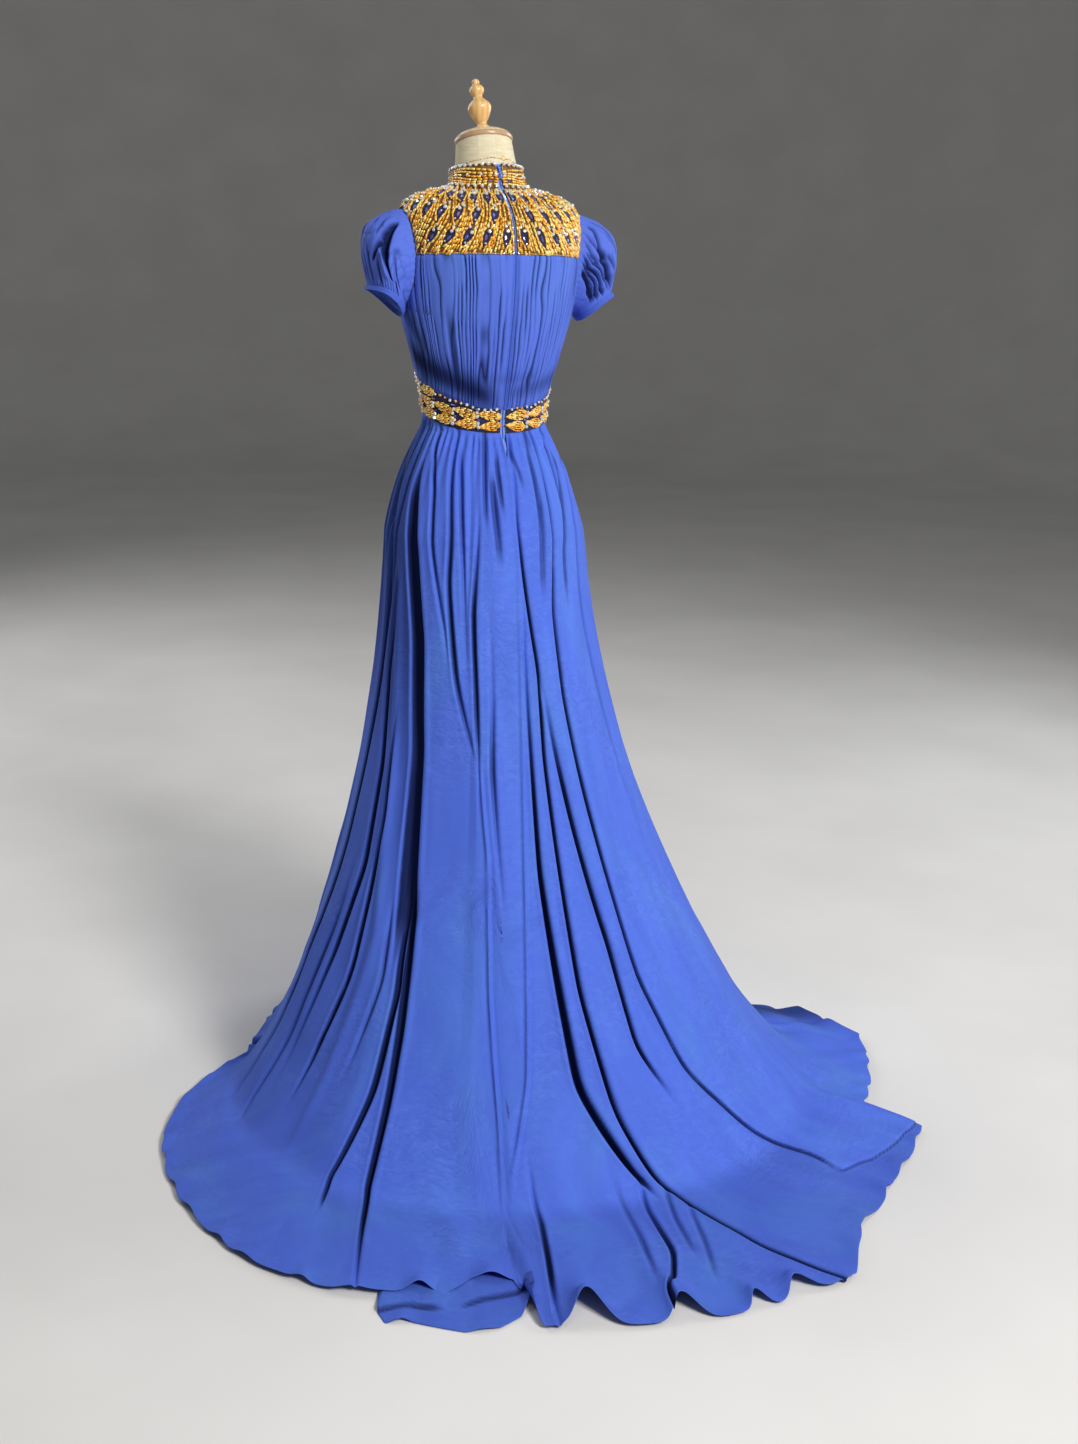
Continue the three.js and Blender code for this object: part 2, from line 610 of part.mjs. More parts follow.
// The cap and finial stand square to the neck's sloping top.
const NECK = SECTIONS[NECK_TOP];
const NECK_SLOPE = Math.atan2(NECK.rise, NECK.back + NECK.front);

const lathe = (profile, segments) => new THREE.LatheGeometry(
  profile.map(([radius, height]) => new THREE.Vector2(radius, height)),
  segments,
).rotateX(Math.PI / 2);

const CAP_HEIGHT = 21.5;
const FINIAL_FOOT = 11;
const FINIAL_LEAN = 5; // degrees to the left, as it sits a little out of true

const formCap = () => lathe([[0, 0], [47, 0], [48.5, 1.5], [48.5, 6.5], [47, 8], [44, 12], [34, 17],
  [20, 20.5], [12, CAP_HEIGHT], [0, CAP_HEIGHT]], 48);

const formFinial = () => lathe([[0, 0], [FINIAL_FOOT, 0], [12, 2], [11, 4.5], [8, 6.5], [7.5, 9], [11, 14],
  [15.5, 22], [19, 30], [20, 35], [18.5, 40], [13, 46], [8.5, 50], [7, 53], [8, 55.5], [11, 59], [12.5, 63.5],
  [11.5, 68], [8, 71.5], [5.5, 74], [6.5, 77], [5.5, 80.5], [2.5, 82.5], [0, 83]], 32);

const BASE = { radius: 165, height: 14 };

const formBase = () => lathe([[0, 0], [BASE.radius - 2, 0], [BASE.radius, 2], [BASE.radius, 9],
  [BASE.radius - 6, BASE.height], [0, BASE.height]], 64);

function formPole() {
  const length = SECTIONS[0].height - BASE.height - 2 * SEAM_GAP;
  return new THREE.CylinderGeometry(16, 16, length, 32).rotateX(Math.PI / 2).translate(0, 0, length / 2);
}

// ---------------------------------------------------------------- finishes
const finish = (color, roughness, metalness) => () =>
  new THREE.MeshStandardMaterial({ color, roughness, metalness });
const CHIFFON = finish(0x4a5fc8, 0.55, 0);
const BEADWORK = finish(0xd49a2a, 0.35, 0.3);
const BLUE_TAPE = finish(0x3d54c4, 0.6, 0);
const BLUE_METAL = finish(0x2f57c8, 0.3, 0.7);
const LINEN = finish(0xe8dfb8, 0.85, 0);
const WOOD = finish(0xc98f45, 0.45, 0);
const STEEL = finish(0xb8b8b8, 0.3, 0.9);
const BASE_METAL = finish(0x2a2a2c, 0.4, 0.8);

// ---------------------------------------------------------------- assembly
const gown = new THREE.Group();

function add(name, geometry, material, parent = gown) {
  const mesh = new THREE.Mesh(geometry, material());
  mesh.name = name;
  parent.add(mesh);
  return mesh;
}

for (const [suffix, sleeveSizes] of Object.entries(SLEEVES)) {
  const { side } = sleeveSizes;
  add(`collar_${suffix}`, collarHalf(side), BEADWORK);
  add(`yoke_back_${suffix}`, yokeBack(side), BEADWORK);
  add(`bodice_back_${suffix}`, bodiceBack(side), CHIFFON);
  add(`sleeve_${suffix}`, sleeve(sleeveSizes), CHIFFON);
  add(`cuff_${suffix}`, cuff(sleeveSizes), CHIFFON);
  add(`form_plate_${suffix}`, armPlate(side), LINEN);
}
add('yoke_front', yokeFront(), BEADWORK);
add('bodice_front', bodiceFront(), CHIFFON);

const bandSide = 84;
const bandGap = asAngle(SEAM_GAP / 2, WAIST);
const bandPlacket = asAngle(PLACKET.band, WAIST);
add('waistband_back_left', waistband(bandPlacket, bandSide - bandGap, 14), BEADWORK);
add('waistband_back_right', waistband(-bandPlacket, bandGap - bandSide, 14), BEADWORK);
add('waistband_front', waistband(bandSide + bandGap, 360 - bandSide - bandGap, 24), BEADWORK);

add('skirt_back_left', skirtPanel(SEAMS.centreBack, SEAMS.backLeft, 15), CHIFFON);
add('skirt_back_right', skirtPanel(SEAMS.centreBack, SEAMS.backRight, 19), CHIFFON);
add('skirt_side_left', skirtPanel(SEAMS.backLeft, SEAMS.frontLeft, 14), CHIFFON);
add('skirt_side_right', skirtPanel(SEAMS.backRight, SEAMS.frontRight, 13), CHIFFON);
add('skirt_front', skirtPanel(SEAMS.frontLeft, SEAMS.frontRight, 16, 360), CHIFFON);
add('underskirt_hem', underskirtHem(), CHIFFON);

add('zip_tape', zipTape(), BLUE_TAPE);
const zip = new THREE.Group();
zip.position.copy(onBody(0, HINGE.level, HINGE.offset));
const zipNormal = bodyNormal(0, HINGE.level);
zip.rotation.x = Math.atan2(zipNormal.z, zipNormal.y);
gown.add(zip);
add('zip_slider', zipSlider(), BLUE_METAL, zip);
add('zip_pull', zipPull(), BLUE_METAL, zip);

add('form_torso', formTorso(), LINEN);
const head = new THREE.Group();
head.position.set(0, NECK.centre, NECK.height);
head.rotation.x = NECK_SLOPE;
gown.add(head);
add('form_cap', formCap(), WOOD, head).position.z = SEAM_GAP;
const finial = add('form_finial', formFinial(), WOOD, head);
finial.position.z = CAP_HEIGHT + 2 * SEAM_GAP + FINIAL_FOOT * Math.sin(radians(FINIAL_LEAN));
finial.rotation.y = radians(FINIAL_LEAN);
add('form_base', formBase(), BASE_METAL);
add('form_pole', formPole(), STEEL).position.z = BASE.height + SEAM_GAP;

export default gown;
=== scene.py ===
"""The looks of a chiffon gown on a limbless dress form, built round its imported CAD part.

Metres, +Z up. The gown faces -Y and its wearer's left side is +X. Angles round the body are in
degrees: 0 at the centre back, 90 at the wearer's left side, 180 in front. A level is a row of
SECTIONS, which need not be whole. A fall is how far down the skirt's length a point hangs: 0 at the
waistband, and 1 where the cloth would reach the floor if it hung straight.
"""

import math

import bpy
import numpy as np
from mathutils import Matrix, Vector


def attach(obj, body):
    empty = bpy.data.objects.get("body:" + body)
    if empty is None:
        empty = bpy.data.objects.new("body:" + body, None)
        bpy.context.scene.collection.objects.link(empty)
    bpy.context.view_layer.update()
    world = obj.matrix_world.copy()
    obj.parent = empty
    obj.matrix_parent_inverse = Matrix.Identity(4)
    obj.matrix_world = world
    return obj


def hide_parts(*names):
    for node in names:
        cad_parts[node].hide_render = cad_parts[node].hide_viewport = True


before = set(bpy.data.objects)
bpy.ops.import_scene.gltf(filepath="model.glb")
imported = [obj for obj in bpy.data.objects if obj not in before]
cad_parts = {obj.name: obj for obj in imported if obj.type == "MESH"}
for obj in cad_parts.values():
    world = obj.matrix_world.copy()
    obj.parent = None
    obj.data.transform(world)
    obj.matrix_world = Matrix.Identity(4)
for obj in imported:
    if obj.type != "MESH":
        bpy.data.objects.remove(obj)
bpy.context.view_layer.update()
MM = 0.001

# ------------------------------------------------------------------ the body, as in the CAD part
# height, half width, back depth, front depth, centre's y, rise of the back, lift of the sides
SECTIONS = MM * np.array([
    (800, 148, 120, 112, 0, 0, 0),
    (880, 153, 130, 112, 0, 0, 0),
    (960, 149, 132, 110, 0, 0, 0),
    (1045, 131, 113, 101, 0, 0, 0),
    (1130, 104, 87, 89, 0, 0, 0),
    (1180, 102, 88, 92, 0, 0, 0),
    (1250, 119, 103, 108, 0, 0, 0),
    (1320, 138, 116, 128, 0, 0, 0),
    (1366, 145, 121, 120, 0, 6, 0),
    (1410, 149, 120, 103, 0, 10, 0),
    (1448, 150, 114, 86, -2, 12, 14),
    (1470, 139, 102, 74, -5, 16, 20),
    (1486, 105, 84, 64, -8, 20, 19),
    (1503, 64, 62, 54, -12, 26, 12),
    (1546, 52, 52, 49, -20, 20, 2),
    (1590, 46, 46, 46, -33, 26, 0),
], float)
HIP, WAIST, YOKE_EDGE, NECK_BASE, COLLAR_TOP, NECK_TOP = 2, 4, 9, 13, 14, 15
ARMHOLE = {"level": 9, "upward": 1.6, "downward": 1.85, "reach": 23}
PLATE_FACE = 0.141
BODICE_EASE = 0.0034


def unit(vectors):
    """Vectors of length 1."""
    return vectors / np.maximum(np.linalg.norm(vectors, axis=-1, keepdims=True), 1e-12)


def between_rows(rows, position):
    """A smooth value between the rows of a table."""
    last = len(rows) - 1
    at = np.clip(position, 0, last)
    row = np.minimum(np.floor(at).astype(int), last - 1)
    part = (at - row)[..., None]
    p0, p1, p2, p3 = (rows[np.clip(row + k, 0, last)] for k in (-1, 0, 1, 2))
    return 0.5 * (2 * p1 + (p2 - p0) * part + (2 * p0 - 5 * p1 + 4 * p2 - p3) * part**2
                  + (3 * p1 - p0 - 3 * p2 + p3) * part**3)


def body_point(angle, level):
    angle, level = np.broadcast_arrays(np.asarray(angle, float), np.asarray(level, float))
    height, half, back, front, centre, rise, lift = np.moveaxis(between_rows(SECTIONS, level), -1, 0)
    sine, cosine = np.sin(np.radians(angle)), np.cos(np.radians(angle))
    depth = np.where(cosine > 0, back, front)
    return np.stack([half * sine, centre + depth * cosine,
                     height + rise * cosine / 2 + lift * sine**4], -1)


def body_frame(angle, level):
    """The directions round, up and out at a point of the body."""
    level = np.asarray(level, float)
    around = unit(body_point(np.asarray(angle) + 0.5, level) - body_point(np.asarray(angle) - 0.5, level))
    top = np.minimum(level + 0.02, NECK_TOP)
    upward = unit(body_point(angle, top) - body_point(angle, top - 0.04))
    return around, upward, -unit(np.cross(around, upward))


def on_body(angle, level, offset):
    outward = body_frame(angle, level)[2]
    return body_point(angle, level) + outward * np.asarray(offset)[..., None]


FINE_LEVELS = np.linspace(0, NECK_TOP, 3001)
FINE_HEIGHTS = between_rows(SECTIONS, FINE_LEVELS)[:, 0]


def level_at(height):
    return np.interp(height, FINE_HEIGHTS, FINE_LEVELS)


def armhole_reach(level, margin=0.4):
    """How far round the armhole has cut in at a level, in degrees short of the side."""
    rise = np.asarray(level, float) - ARMHOLE["level"]
    part = rise / np.where(rise > 0, ARMHOLE["upward"], ARMHOLE["downward"])
    return (ARMHOLE["reach"] + margin) * np.sqrt(np.clip(1 - part**2, 0, 1))


def towards_front(angle):
    return np.sin(np.radians(angle) / 2) ** 2


def band_bottom(angle):
    return 1.130 + 0.045 * towards_front(angle)


def band_top(angle):
    return band_bottom(angle) + 0.039 + 0.034 * towards_front(angle)


# ------------------------------------------------------------------ small tools
def smooth_noise(x, y, seed):
    """Soft random numbers from -1 to 1 that change once about every unit of x and y."""
    lattice = np.random.default_rng(seed).uniform(-1, 1, (64, 64))
    x, y = np.broadcast_arrays(np.asarray(x, float), np.asarray(y, float))
    column, row = np.floor(x).astype(int), np.floor(y).astype(int)
    part_x, part_y = x - column, y - row
    part_x, part_y = (p * p * (3 - 2 * p) for p in (part_x, part_y))
    at = lambda i, j: lattice[(row + j) % 64, (column + i) % 64]
    low = at(0, 0) * (1 - part_x) + at(1, 0) * part_x
    high = at(0, 1) * (1 - part_x) + at(1, 1) * part_x
    return low * (1 - part_y) + high * part_y


def bell(x):
    return np.exp(-np.square(x))


def step(x):
    """0 below 0, 1 above 1, and smooth between."""
    x = np.clip(x, 0, 1)
    return x * x * (3 - 2 * x)


def keyed(keys, softness=0.03):
    """A smooth curve through (fall, value) keys."""
    places = np.linspace(-0.1, 1.6, 681)
    values = np.interp(places, [k[0] for k in keys], [k[1] for k in keys])
    reach = max(1, int(softness / (places[1] - places[0])))
    kernel = np.hanning(2 * reach + 3)
    padded = np.pad(values, reach + 1, mode="edge")
    soft = np.convolve(padded, kernel / kernel.sum(), mode="valid")
    return lambda fall: np.interp(fall, places, soft)


def add_object(name, mesh):
    made = bpy.data.objects.new(name, mesh)
    bpy.context.scene.collection.objects.link(made)
    return made


def mesh_object(name, points, faces, material, smooth=True, values=None):
    """An object from arrays of points and of faces that all have the same number of corners."""
    mesh = bpy.data.meshes.new(name)
    points, faces = np.asarray(points, np.float32), np.asarray(faces, np.int32)
    count, corners = faces.shape
    mesh.vertices.add(len(points))
    mesh.vertices.foreach_set("co", points.ravel())
    mesh.loops.add(count * corners)
    mesh.loops.foreach_set("vertex_index", faces.ravel())
    mesh.polygons.add(count)
    mesh.polygons.foreach_set("loop_start", np.arange(0, count * corners, corners, dtype=np.int32))
    mesh.update(calc_edges=True)
    mesh.polygons.foreach_set("use_smooth", np.full(count, smooth))
    for key, value in (values or {}).items():
        if key == "uv":
            layer = mesh.uv_layers.new(name="UVMap")
            layer.data.foreach_set("uv", np.asarray(value, np.float32)[faces.ravel()].ravel())
        else:
            layer = mesh.attributes.new(key, "FLOAT", "POINT")
            layer.data.foreach_set("value", np.asarray(value, np.float32).ravel())
    mesh.materials.append(material)
    return add_object(name, mesh)


def grid_faces(rows, columns, closed=False):
    """Quads over rows and columns of points, facing out where the columns go round from left to right."""
    index = np.arange(rows * columns).reshape(rows, columns)
    if closed:
        index = np.concatenate([index, index[:, :1]], 1)
    a, b, c, d = index[:-1, :-1], index[:-1, 1:], index[1:, 1:], index[1:, :-1]
    return np.stack([a, b, c, d], -1).reshape(-1, 4)


def cloth(name, points, material, values=None, closed=False, flip=False):
    """A sheet of cloth from rows and columns of points."""
    rows, columns = points.shape[:2]
    faces = grid_faces(rows, columns, closed)
    if flip:
        faces = faces[:, ::-1]
    flat = {key: value.reshape(rows * columns, *value.shape[2:]) for key, value in (values or {}).items()}
    return mesh_object(name, points.reshape(-1, 3), faces, material, values=flat)


def lengths(points, axis):
    """Distances along a grid's rows or columns, from its first point."""
    steps = np.linalg.norm(np.diff(points, axis=axis), axis=-1)
    return np.concatenate([np.zeros_like(np.take(steps, [0], axis)), np.cumsum(steps, axis)], axis)


def gone_along(line):
    """The distance along a line of points, from its first one."""
    return np.concatenate([[0], np.cumsum(np.linalg.norm(np.diff(line, axis=0), axis=-1))])


def cloth_uv(points):
    """A cloth's own coordinates in metres: across from its middle column, and down from its first row."""
    across = lengths(points, 1)
    across = across - across[:, across.shape[1] // 2][:, None]
    return np.stack([across, lengths(points, 0)], -1)


def settle(piece, body, slot, *nodes):
    """Puts a finished piece on its body, in place of its CAD nodes. Its slot is not used."""
    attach(piece, body)
    if nodes:
        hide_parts(*nodes)
    return piece


# ------------------------------------------------------------------ materials
class Shader:
    """A principled material, with its nodes added one at a time."""

    def __init__(self, name, **sockets):
        self.material = bpy.data.materials.new(name)
        self.material.use_nodes = True
        self.tree = self.material.node_tree
        self.surface = self.tree.nodes["Principled BSDF"]
        for socket, value in sockets.items():
            self.surface.inputs[socket.replace("_", " ")].default_value = value

    def node(self, kind, inputs=None, **settings):
        made = self.tree.nodes.new("ShaderNode" + kind)
        for key, value in settings.items():
            setattr(made, key, value)
        for key, value in (inputs or {}).items():
            self.feed(value, made.inputs[key])
        return made

    def feed(self, value, socket):
        if isinstance(value, bpy.types.NodeSocket):
            self.tree.links.new(value, socket)
        else:
            socket.default_value = value

    def coordinates(self, kind="Object", stretch=(1, 1, 1)):
        source = self.node("TexCoord").outputs[kind]
        return self.node("Mapping", {"Vector": source, "Scale": stretch}).outputs["Vector"]

    def noise(self, scale, detail=3.0, kind="Object", stretch=(1, 1, 1), distortion=0.0, roughness=0.5):
        made = self.node("TexNoise", {"Vector": self.coordinates(kind, stretch), "Scale": scale,
                                      "Detail": detail, "Roughness": roughness, "Distortion": distortion})
        return made.outputs["Fac"]

    def wave(self, scale, kind="Object", direction="X", distortion=0.0, stretch=(1, 1, 1)):
        made = self.node("TexWave", {"Vector": self.coordinates(kind, stretch), "Scale": scale,
                                     "Distortion": distortion, "Detail": 2.0},
                         bands_direction=direction)
        return made.outputs["Fac"]

    def ramp(self, factor, *stops):
        made = self.node("ValToRGB", {"Fac": factor})
        elements = made.color_ramp.elements
        while len(elements) < len(stops):
            elements.new(0.5)
        for element, (place, colour) in zip(elements, stops):
            element.position = place
            element.color = (*colour, 1) if len(colour) == 3 else colour
        return made.outputs["Color"]

    def mix(self, factor, a, b, blend="MIX"):
        made = self.node("Mix", data_type="RGBA", blend_type=blend)
        self.feed(factor, made.inputs[0])
        self.feed(a, made.inputs[6])
        self.feed(b, made.inputs[7])
        return made.outputs[2]

    def maths(self, operation, a, b=0.0, c=0.0):
        made = self.node("Math", operation=operation)
        for socket, value in zip(made.inputs, (a, b, c)):
            self.feed(value, socket)
        return made.outputs[0]

    def attribute(self, name):
        return self.node("Attribute", attribute_name=name).outputs["Fac"]

    def bump(self, height, strength, distance, normal=None):
        inputs = {"Height": height, "Strength": strength, "Distance": distance}
        if normal is not None:
            inputs["Normal"] = normal
        return self.node("Bump", inputs).outputs["Normal"]

    def finish(self, colour=None, roughness=None, normal=None):
        for value, socket in ((colour, "Base Color"), (roughness, "Roughness"), (normal, "Normal")):
            if value is not None:
                self.feed(value, self.surface.inputs[socket])
        return self.material


def grey(value):
    return (value, value, value)


def chiffon(name, lit, deep, crinkle=1.0):
    """Crinkled chiffon: fine crinkles that come and go in patches, with painted shade down in its folds and
    painted highlights on its crests and crinkle tops.
    """
    made = Shader(name, Sheen_Weight=0.06, Sheen_Roughness=0.5, Specular_IOR_Level=0.07)
    made.surface.inputs["Sheen Tint"].default_value = (0.35, 0.45, 1.0, 1)
    patches = made.ramp(made.noise(6.0, 2.0), (0.38, grey(0.12)), (0.66, grey(1.0)))
    crinkles = made.noise(52.0, 5.0, "UV", (1.0, 1.9, 1.0), distortion=1.1, roughness=0.66)
    crepe = made.noise(620.0, 2.0, "UV", (1.0, 1.6, 1.0))
    worn = made.maths("MULTIPLY", crinkles, patches)
    streaks = made.noise(26.0, 3.0, "UV", (1.0, 0.16, 1.0), distortion=0.3)
    washed = (1.12 * lit[0], 1.42 * lit[1], 0.96 * lit[2], 1)
    # the pale tone that is painted on as highlights
    highlight_tone = tuple(min(1, 1.5 * c + 0.06) for c in lit)
    bands = made.noise(5.0, 3.0, stretch=(1.6, 1.6, 0.45), distortion=0.4)
    tone = made.mix(made.ramp(bands, (0.46, grey(0.0)), (0.72, grey(0.6))), lit, washed)
    tone = made.mix(made.maths("MULTIPLY", streaks, 0.30), tone, deep)
    # painted highlight on the crinkles' tops, in patches
    crinkle_highlight = made.ramp(crinkles, (0.44, grey(0.0)), (0.68, grey(1.0)))
    crinkle_highlight = made.maths("MULTIPLY", crinkle_highlight, patches)
    tone = made.mix(made.maths("MULTIPLY", crinkle_highlight, 0.24 * crinkle), tone, highlight_tone)
    # painted highlight on crests and ridges
    tone = made.mix(made.maths("MULTIPLY", made.attribute("crest_highlight"), 0.34), tone, highlight_tone)
    # painted shade: the fold attribute darkens the cloth towards the deep tone down in its folds
    tone = made.mix(made.attribute("fold"), tone, deep)
    normal = made.bump(crepe, 0.10, 0.0004)
    normal = made.bump(worn, 0.75 * crinkle, 0.0030, normal)
    rough = made.ramp(crinkles, (0.3, grey(0.58)), (0.7, grey(0.72)))
    return made.finish(tone, rough, normal)


LIT_BLUE = (0.090, 0.176, 0.780, 1)
# the dark blue painted into the folds as shade, and into random streaks
DEEP_BLUE = (0.003, 0.007, 0.050, 1)
SKIRT_CHIFFON = chiffon("skirt_chiffon", LIT_BLUE, DEEP_BLUE)
BODICE_CHIFFON = chiffon("bodice_chiffon", (0.078, 0.142, 0.620, 1), DEEP_BLUE, 0.35)


def woven_ground(name, scale, low, high):
    """The close cloth that shows between beads."""
    made = Shader(name, Sheen_Weight=0.2, Specular_IOR_Level=0.3)
    tone = made.ramp(made.noise(scale, 3.0), (0.35, low), (0.7, high))
    weave = made.maths("MULTIPLY", made.wave(600.0), made.wave(600.0, direction="Z"))
    return made.finish(tone, 0.6, made.bump(weave, 0.5, 0.0004))


def beads(name, stops, **sockets):
    """Beads whose colour differs from one bead to the next."""
    made = Shader(name, **sockets)
    tone = made.ramp(made.attribute("tint"), *stops)
    streak = made.noise(900.0, 2.0)
    tone = made.mix(made.maths("MULTIPLY", streak, 0.22), tone, (0.40, 0.17, 0.02, 1), "MULTIPLY")
    return made.finish(tone, None, made.bump(streak, 0.12, 0.0002))


def stones(name, stops, **sockets):
    made = Shader(name, **sockets)
    tone = made.ramp(made.attribute("tint"), *stops)
    depth = made.noise(700.0, 1.0)
    return made.finish(made.mix(0.18, tone, made.ramp(depth, (0.35, grey(0.1)), (0.65, grey(1.0)))))


GROUND = woven_ground("beaded_ground", 240.0, (0.004, 0.006, 0.035), (0.020, 0.014, 0.090))
GOLD_GROUND = woven_ground("gold_ground", 300.0, (0.11, 0.045, 0.008), (0.30, 0.14, 0.02))
GOLD = beads("gold_bugles", [(0.0, (0.72, 0.27, 0.012)), (0.35, (1.0, 0.52, 0.035)),
                             (1.0, (1.0, 0.82, 0.28))],
             Metallic=0.22, Roughness=0.34, Coat_Weight=0.6)
CRYSTAL = stones("clear_crystals", [(0.0, (0.62, 0.75, 0.86)), (0.35, (0.92, 0.90, 0.88)),
                                    (0.6, (0.86, 0.74, 0.92)), (0.8, (0.78, 0.90, 0.72)),
                                    (1.0, (0.98, 0.88, 0.60))],
                 Metallic=0.30, Roughness=0.10, Coat_Weight=1.0)
GEM = stones("blue_stones", [(0.0, (0.02, 0.04, 0.32)), (0.45, (0.05, 0.10, 0.62)), (0.7, (0.20, 0.06, 0.42)),
                             (1.0, (0.10, 0.26, 0.80))],
             Metallic=0.45, Roughness=0.06, Coat_Weight=1.0)


def linen():
    made = Shader("form_linen", Sheen_Weight=0.15, Specular_IOR_Level=0.25)
    threads = made.maths("ADD", made.wave(260.0, direction="X", distortion=1.2),
                         made.wave(260.0, direction="Z", distortion=1.2))
    slubs = made.noise(60.0, 4.0, stretch=(1, 1, 6))
    tone = made.ramp(slubs, (0.3, (0.66, 0.58, 0.38)), (0.7, (0.80, 0.73, 0.53)))
    tone = made.mix(made.maths("MULTIPLY", made.noise(9.0, 2.0), 0.3), tone, (0.52, 0.44, 0.27, 1))
    return made.finish(tone, 0.82, made.bump(threads, 0.25, 0.0003))


def wood(name, light, dark, edge, along=(1, 1, 0.14)):
    made = Shader(name, Coat_Weight=0.35, Coat_Roughness=0.18, Specular_IOR_Level=0.45)
    rings = made.wave(34.0, direction="X", distortion=5.0, stretch=along)
    grain = made.noise(210.0, 4.0, stretch=along)
    veined = tuple((a + b) / 2 for a, b in zip(light, dark))
    tone = made.ramp(rings, (0.2, light), (0.85, veined))
    tone = made.mix(made.maths("MULTIPLY", grain, 0.4), tone, (*dark, 1))
    tone = made.mix(made.maths("MULTIPLY", made.attribute("edge"), 0.75), tone, (*edge, 1))
    return made.finish(tone, made.ramp(grain, (0.3, grey(0.28)), (0.7, grey(0.42))),
                       made.bump(grain, 0.08, 0.0003))


def metal(name, low, high, rough, metallic=1.0, stretch=(1, 1, 0.05)):
    made = Shader(name, Metallic=metallic, Coat_Weight=0.2)
    brushed = made.noise(420.0, 3.0, stretch=stretch)
    return made.finish(made.ramp(brushed, (0.3, low), (0.7, high)),
                       made.ramp(brushed, (0.2, grey(rough)), (0.8, grey(rough + 0.14))),
                       made.bump(brushed, 0.06, 0.0002))


def tape():
    made = Shader("tape_weave", Sheen_Weight=0.2, Specular_IOR_Level=0.3)
    ribs = made.wave(420.0, direction="Z", distortion=0.4)
    tone = made.ramp(ribs, (0.2, (0.12, 0.21, 0.62)), (0.8, (0.24, 0.38, 0.85)))
    return made.finish(tone, 0.6, made.bump(ribs, 0.4, 0.0004))


LINEN = linen()
CAP_WOOD = wood("cap_wood", (0.80, 0.64, 0.38), (0.66, 0.47, 0.24), (0.40, 0.22, 0.13))
FINIAL_WOOD = wood("finial_wood", (0.86, 0.56, 0.24), (0.58, 0.31, 0.09), (0.58, 0.31, 0.09))
POLE_STEEL = metal("pole_steel", (0.50, 0.50, 0.51), (0.68, 0.68, 0.68), 0.22)
BASE_METAL = metal("base_enamel", (0.025, 0.025, 0.028), (0.05, 0.05, 0.055), 0.32, 0.3, (1, 1, 1))
ZIP_ENAMEL = metal("zip_enamel", (0.05, 0.13, 0.50), (0.09, 0.20, 0.66), 0.20, 0.6)
TAPE = tape()

# ------------------------------------------------------------------ camera, floor and light
# degrees and metres; the lens and sensor in mm, and the sideways shift as a share of the frame's long side
CAMERA = {"bearing": 21.0, "distance": 3.0, "height": 1.45, "pitch": 15.671, "roll": 1.5,
          "lens": 43.574, "sensor": 36.0, "shift": 0.04384}


def place_camera():
    bearing, pitch, roll = (math.radians(CAMERA[k]) for k in ("bearing", "pitch", "roll"))
    away = Vector((math.sin(bearing), math.cos(bearing), 0))
    forward = Vector((-math.sin(bearing) * math.cos(pitch), -math.cos(bearing) * math.cos(pitch),
                      -math.sin(pitch)))
    level_right = Vector((-math.cos(bearing), math.sin(bearing), 0))
    level_up = level_right.cross(forward)
    right = math.cos(roll) * level_right + math.sin(roll) * level_up
    up = -math.sin(roll) * level_right + math.cos(roll) * level_up
    data = bpy.data.cameras.new("camera")
    data.sensor_width = CAMERA["sensor"]
    data.lens = CAMERA["lens"]
    data.shift_x = CAMERA["shift"]
    camera = add_object("camera", data)
    turn = Matrix((right, up, -forward)).transposed().to_4x4()
    stand = away * CAMERA["distance"] + Vector((0, 0, CAMERA["height"]))
    camera.matrix_world = Matrix.Translation(stand) @ turn
    bpy.context.scene.camera = camera


def add_light(name, place, aim, size, power, colour=(1, 1, 1)):
    data = bpy.data.lights.new(name, "AREA")
    data.size = size
    data.energy = power
    data.color = colour
    light = add_object(name, data)
    light.location = place
    light.rotation_euler = (Vector(aim) - Vector(place)).to_track_quat("-Z", "Y").to_euler()


def studio():
    world = bpy.data.worlds.new("studio")
    world.use_nodes = True
    world.node_tree.nodes["Background"].inputs["Color"].default_value = (0.80, 0.82, 0.86, 1)
    world.node_tree.nodes["Background"].inputs["Strength"].default_value = 0.13
    bpy.context.scene.world = world
    bpy.context.scene.view_settings.view_transform = "Standard"
    add_light("key", (-0.85, 3.4, 2.9), (0.0, 0.2, 0.75), 1.2, 150, (1.0, 0.985, 0.96))
    add_light("side", (-3.1, -0.7, 2.0), (0.0, 0.0, 0.8), 1.4, 34, (0.95, 0.97, 1.0))
    add_light("top", (0.2, 1.2, 4.3), (0.0, 0.3, 0.0), 2.2, 18)
    add_light("front", (1.7, -2.9, 2.5), (0, 0, 0.8), 2.6, 62)
    floor_look = Shader("studio_floor", Specular_IOR_Level=0.25)
    tone = floor_look.ramp(floor_look.noise(2.2, 3.0), (0.3, (0.70, 0.69, 0.67)), (0.7, (0.76, 0.75, 0.73)))
    grain = floor_look.noise(160.0, 3.0)
    look = floor_look.finish(tone, 0.75, floor_look.bump(grain, 0.05, 0.0006))
    # a round floor that curves up into a low backdrop on every side
    turn = np.linspace(0, 2 * np.pi, 97)[:-1]
    bend = np.radians(np.linspace(0, 80, 14))
    profile = [(0.01, 0), (4, 0), (8, 0)] + [(8 + 4 * math.sin(b), 4 * (1 - math.cos(b))) for b in bend[1:]]
    profile.append((12.3, 7.0))
    rings = np.array([[(r * math.cos(t), r * math.sin(t), z) for t in turn] for r, z in profile])
    faces = grid_faces(len(profile), len(turn), True)[:, ::-1]
    floor = mesh_object("studio_floor", rings.reshape(-1, 3), faces, look)


place_camera()
studio()

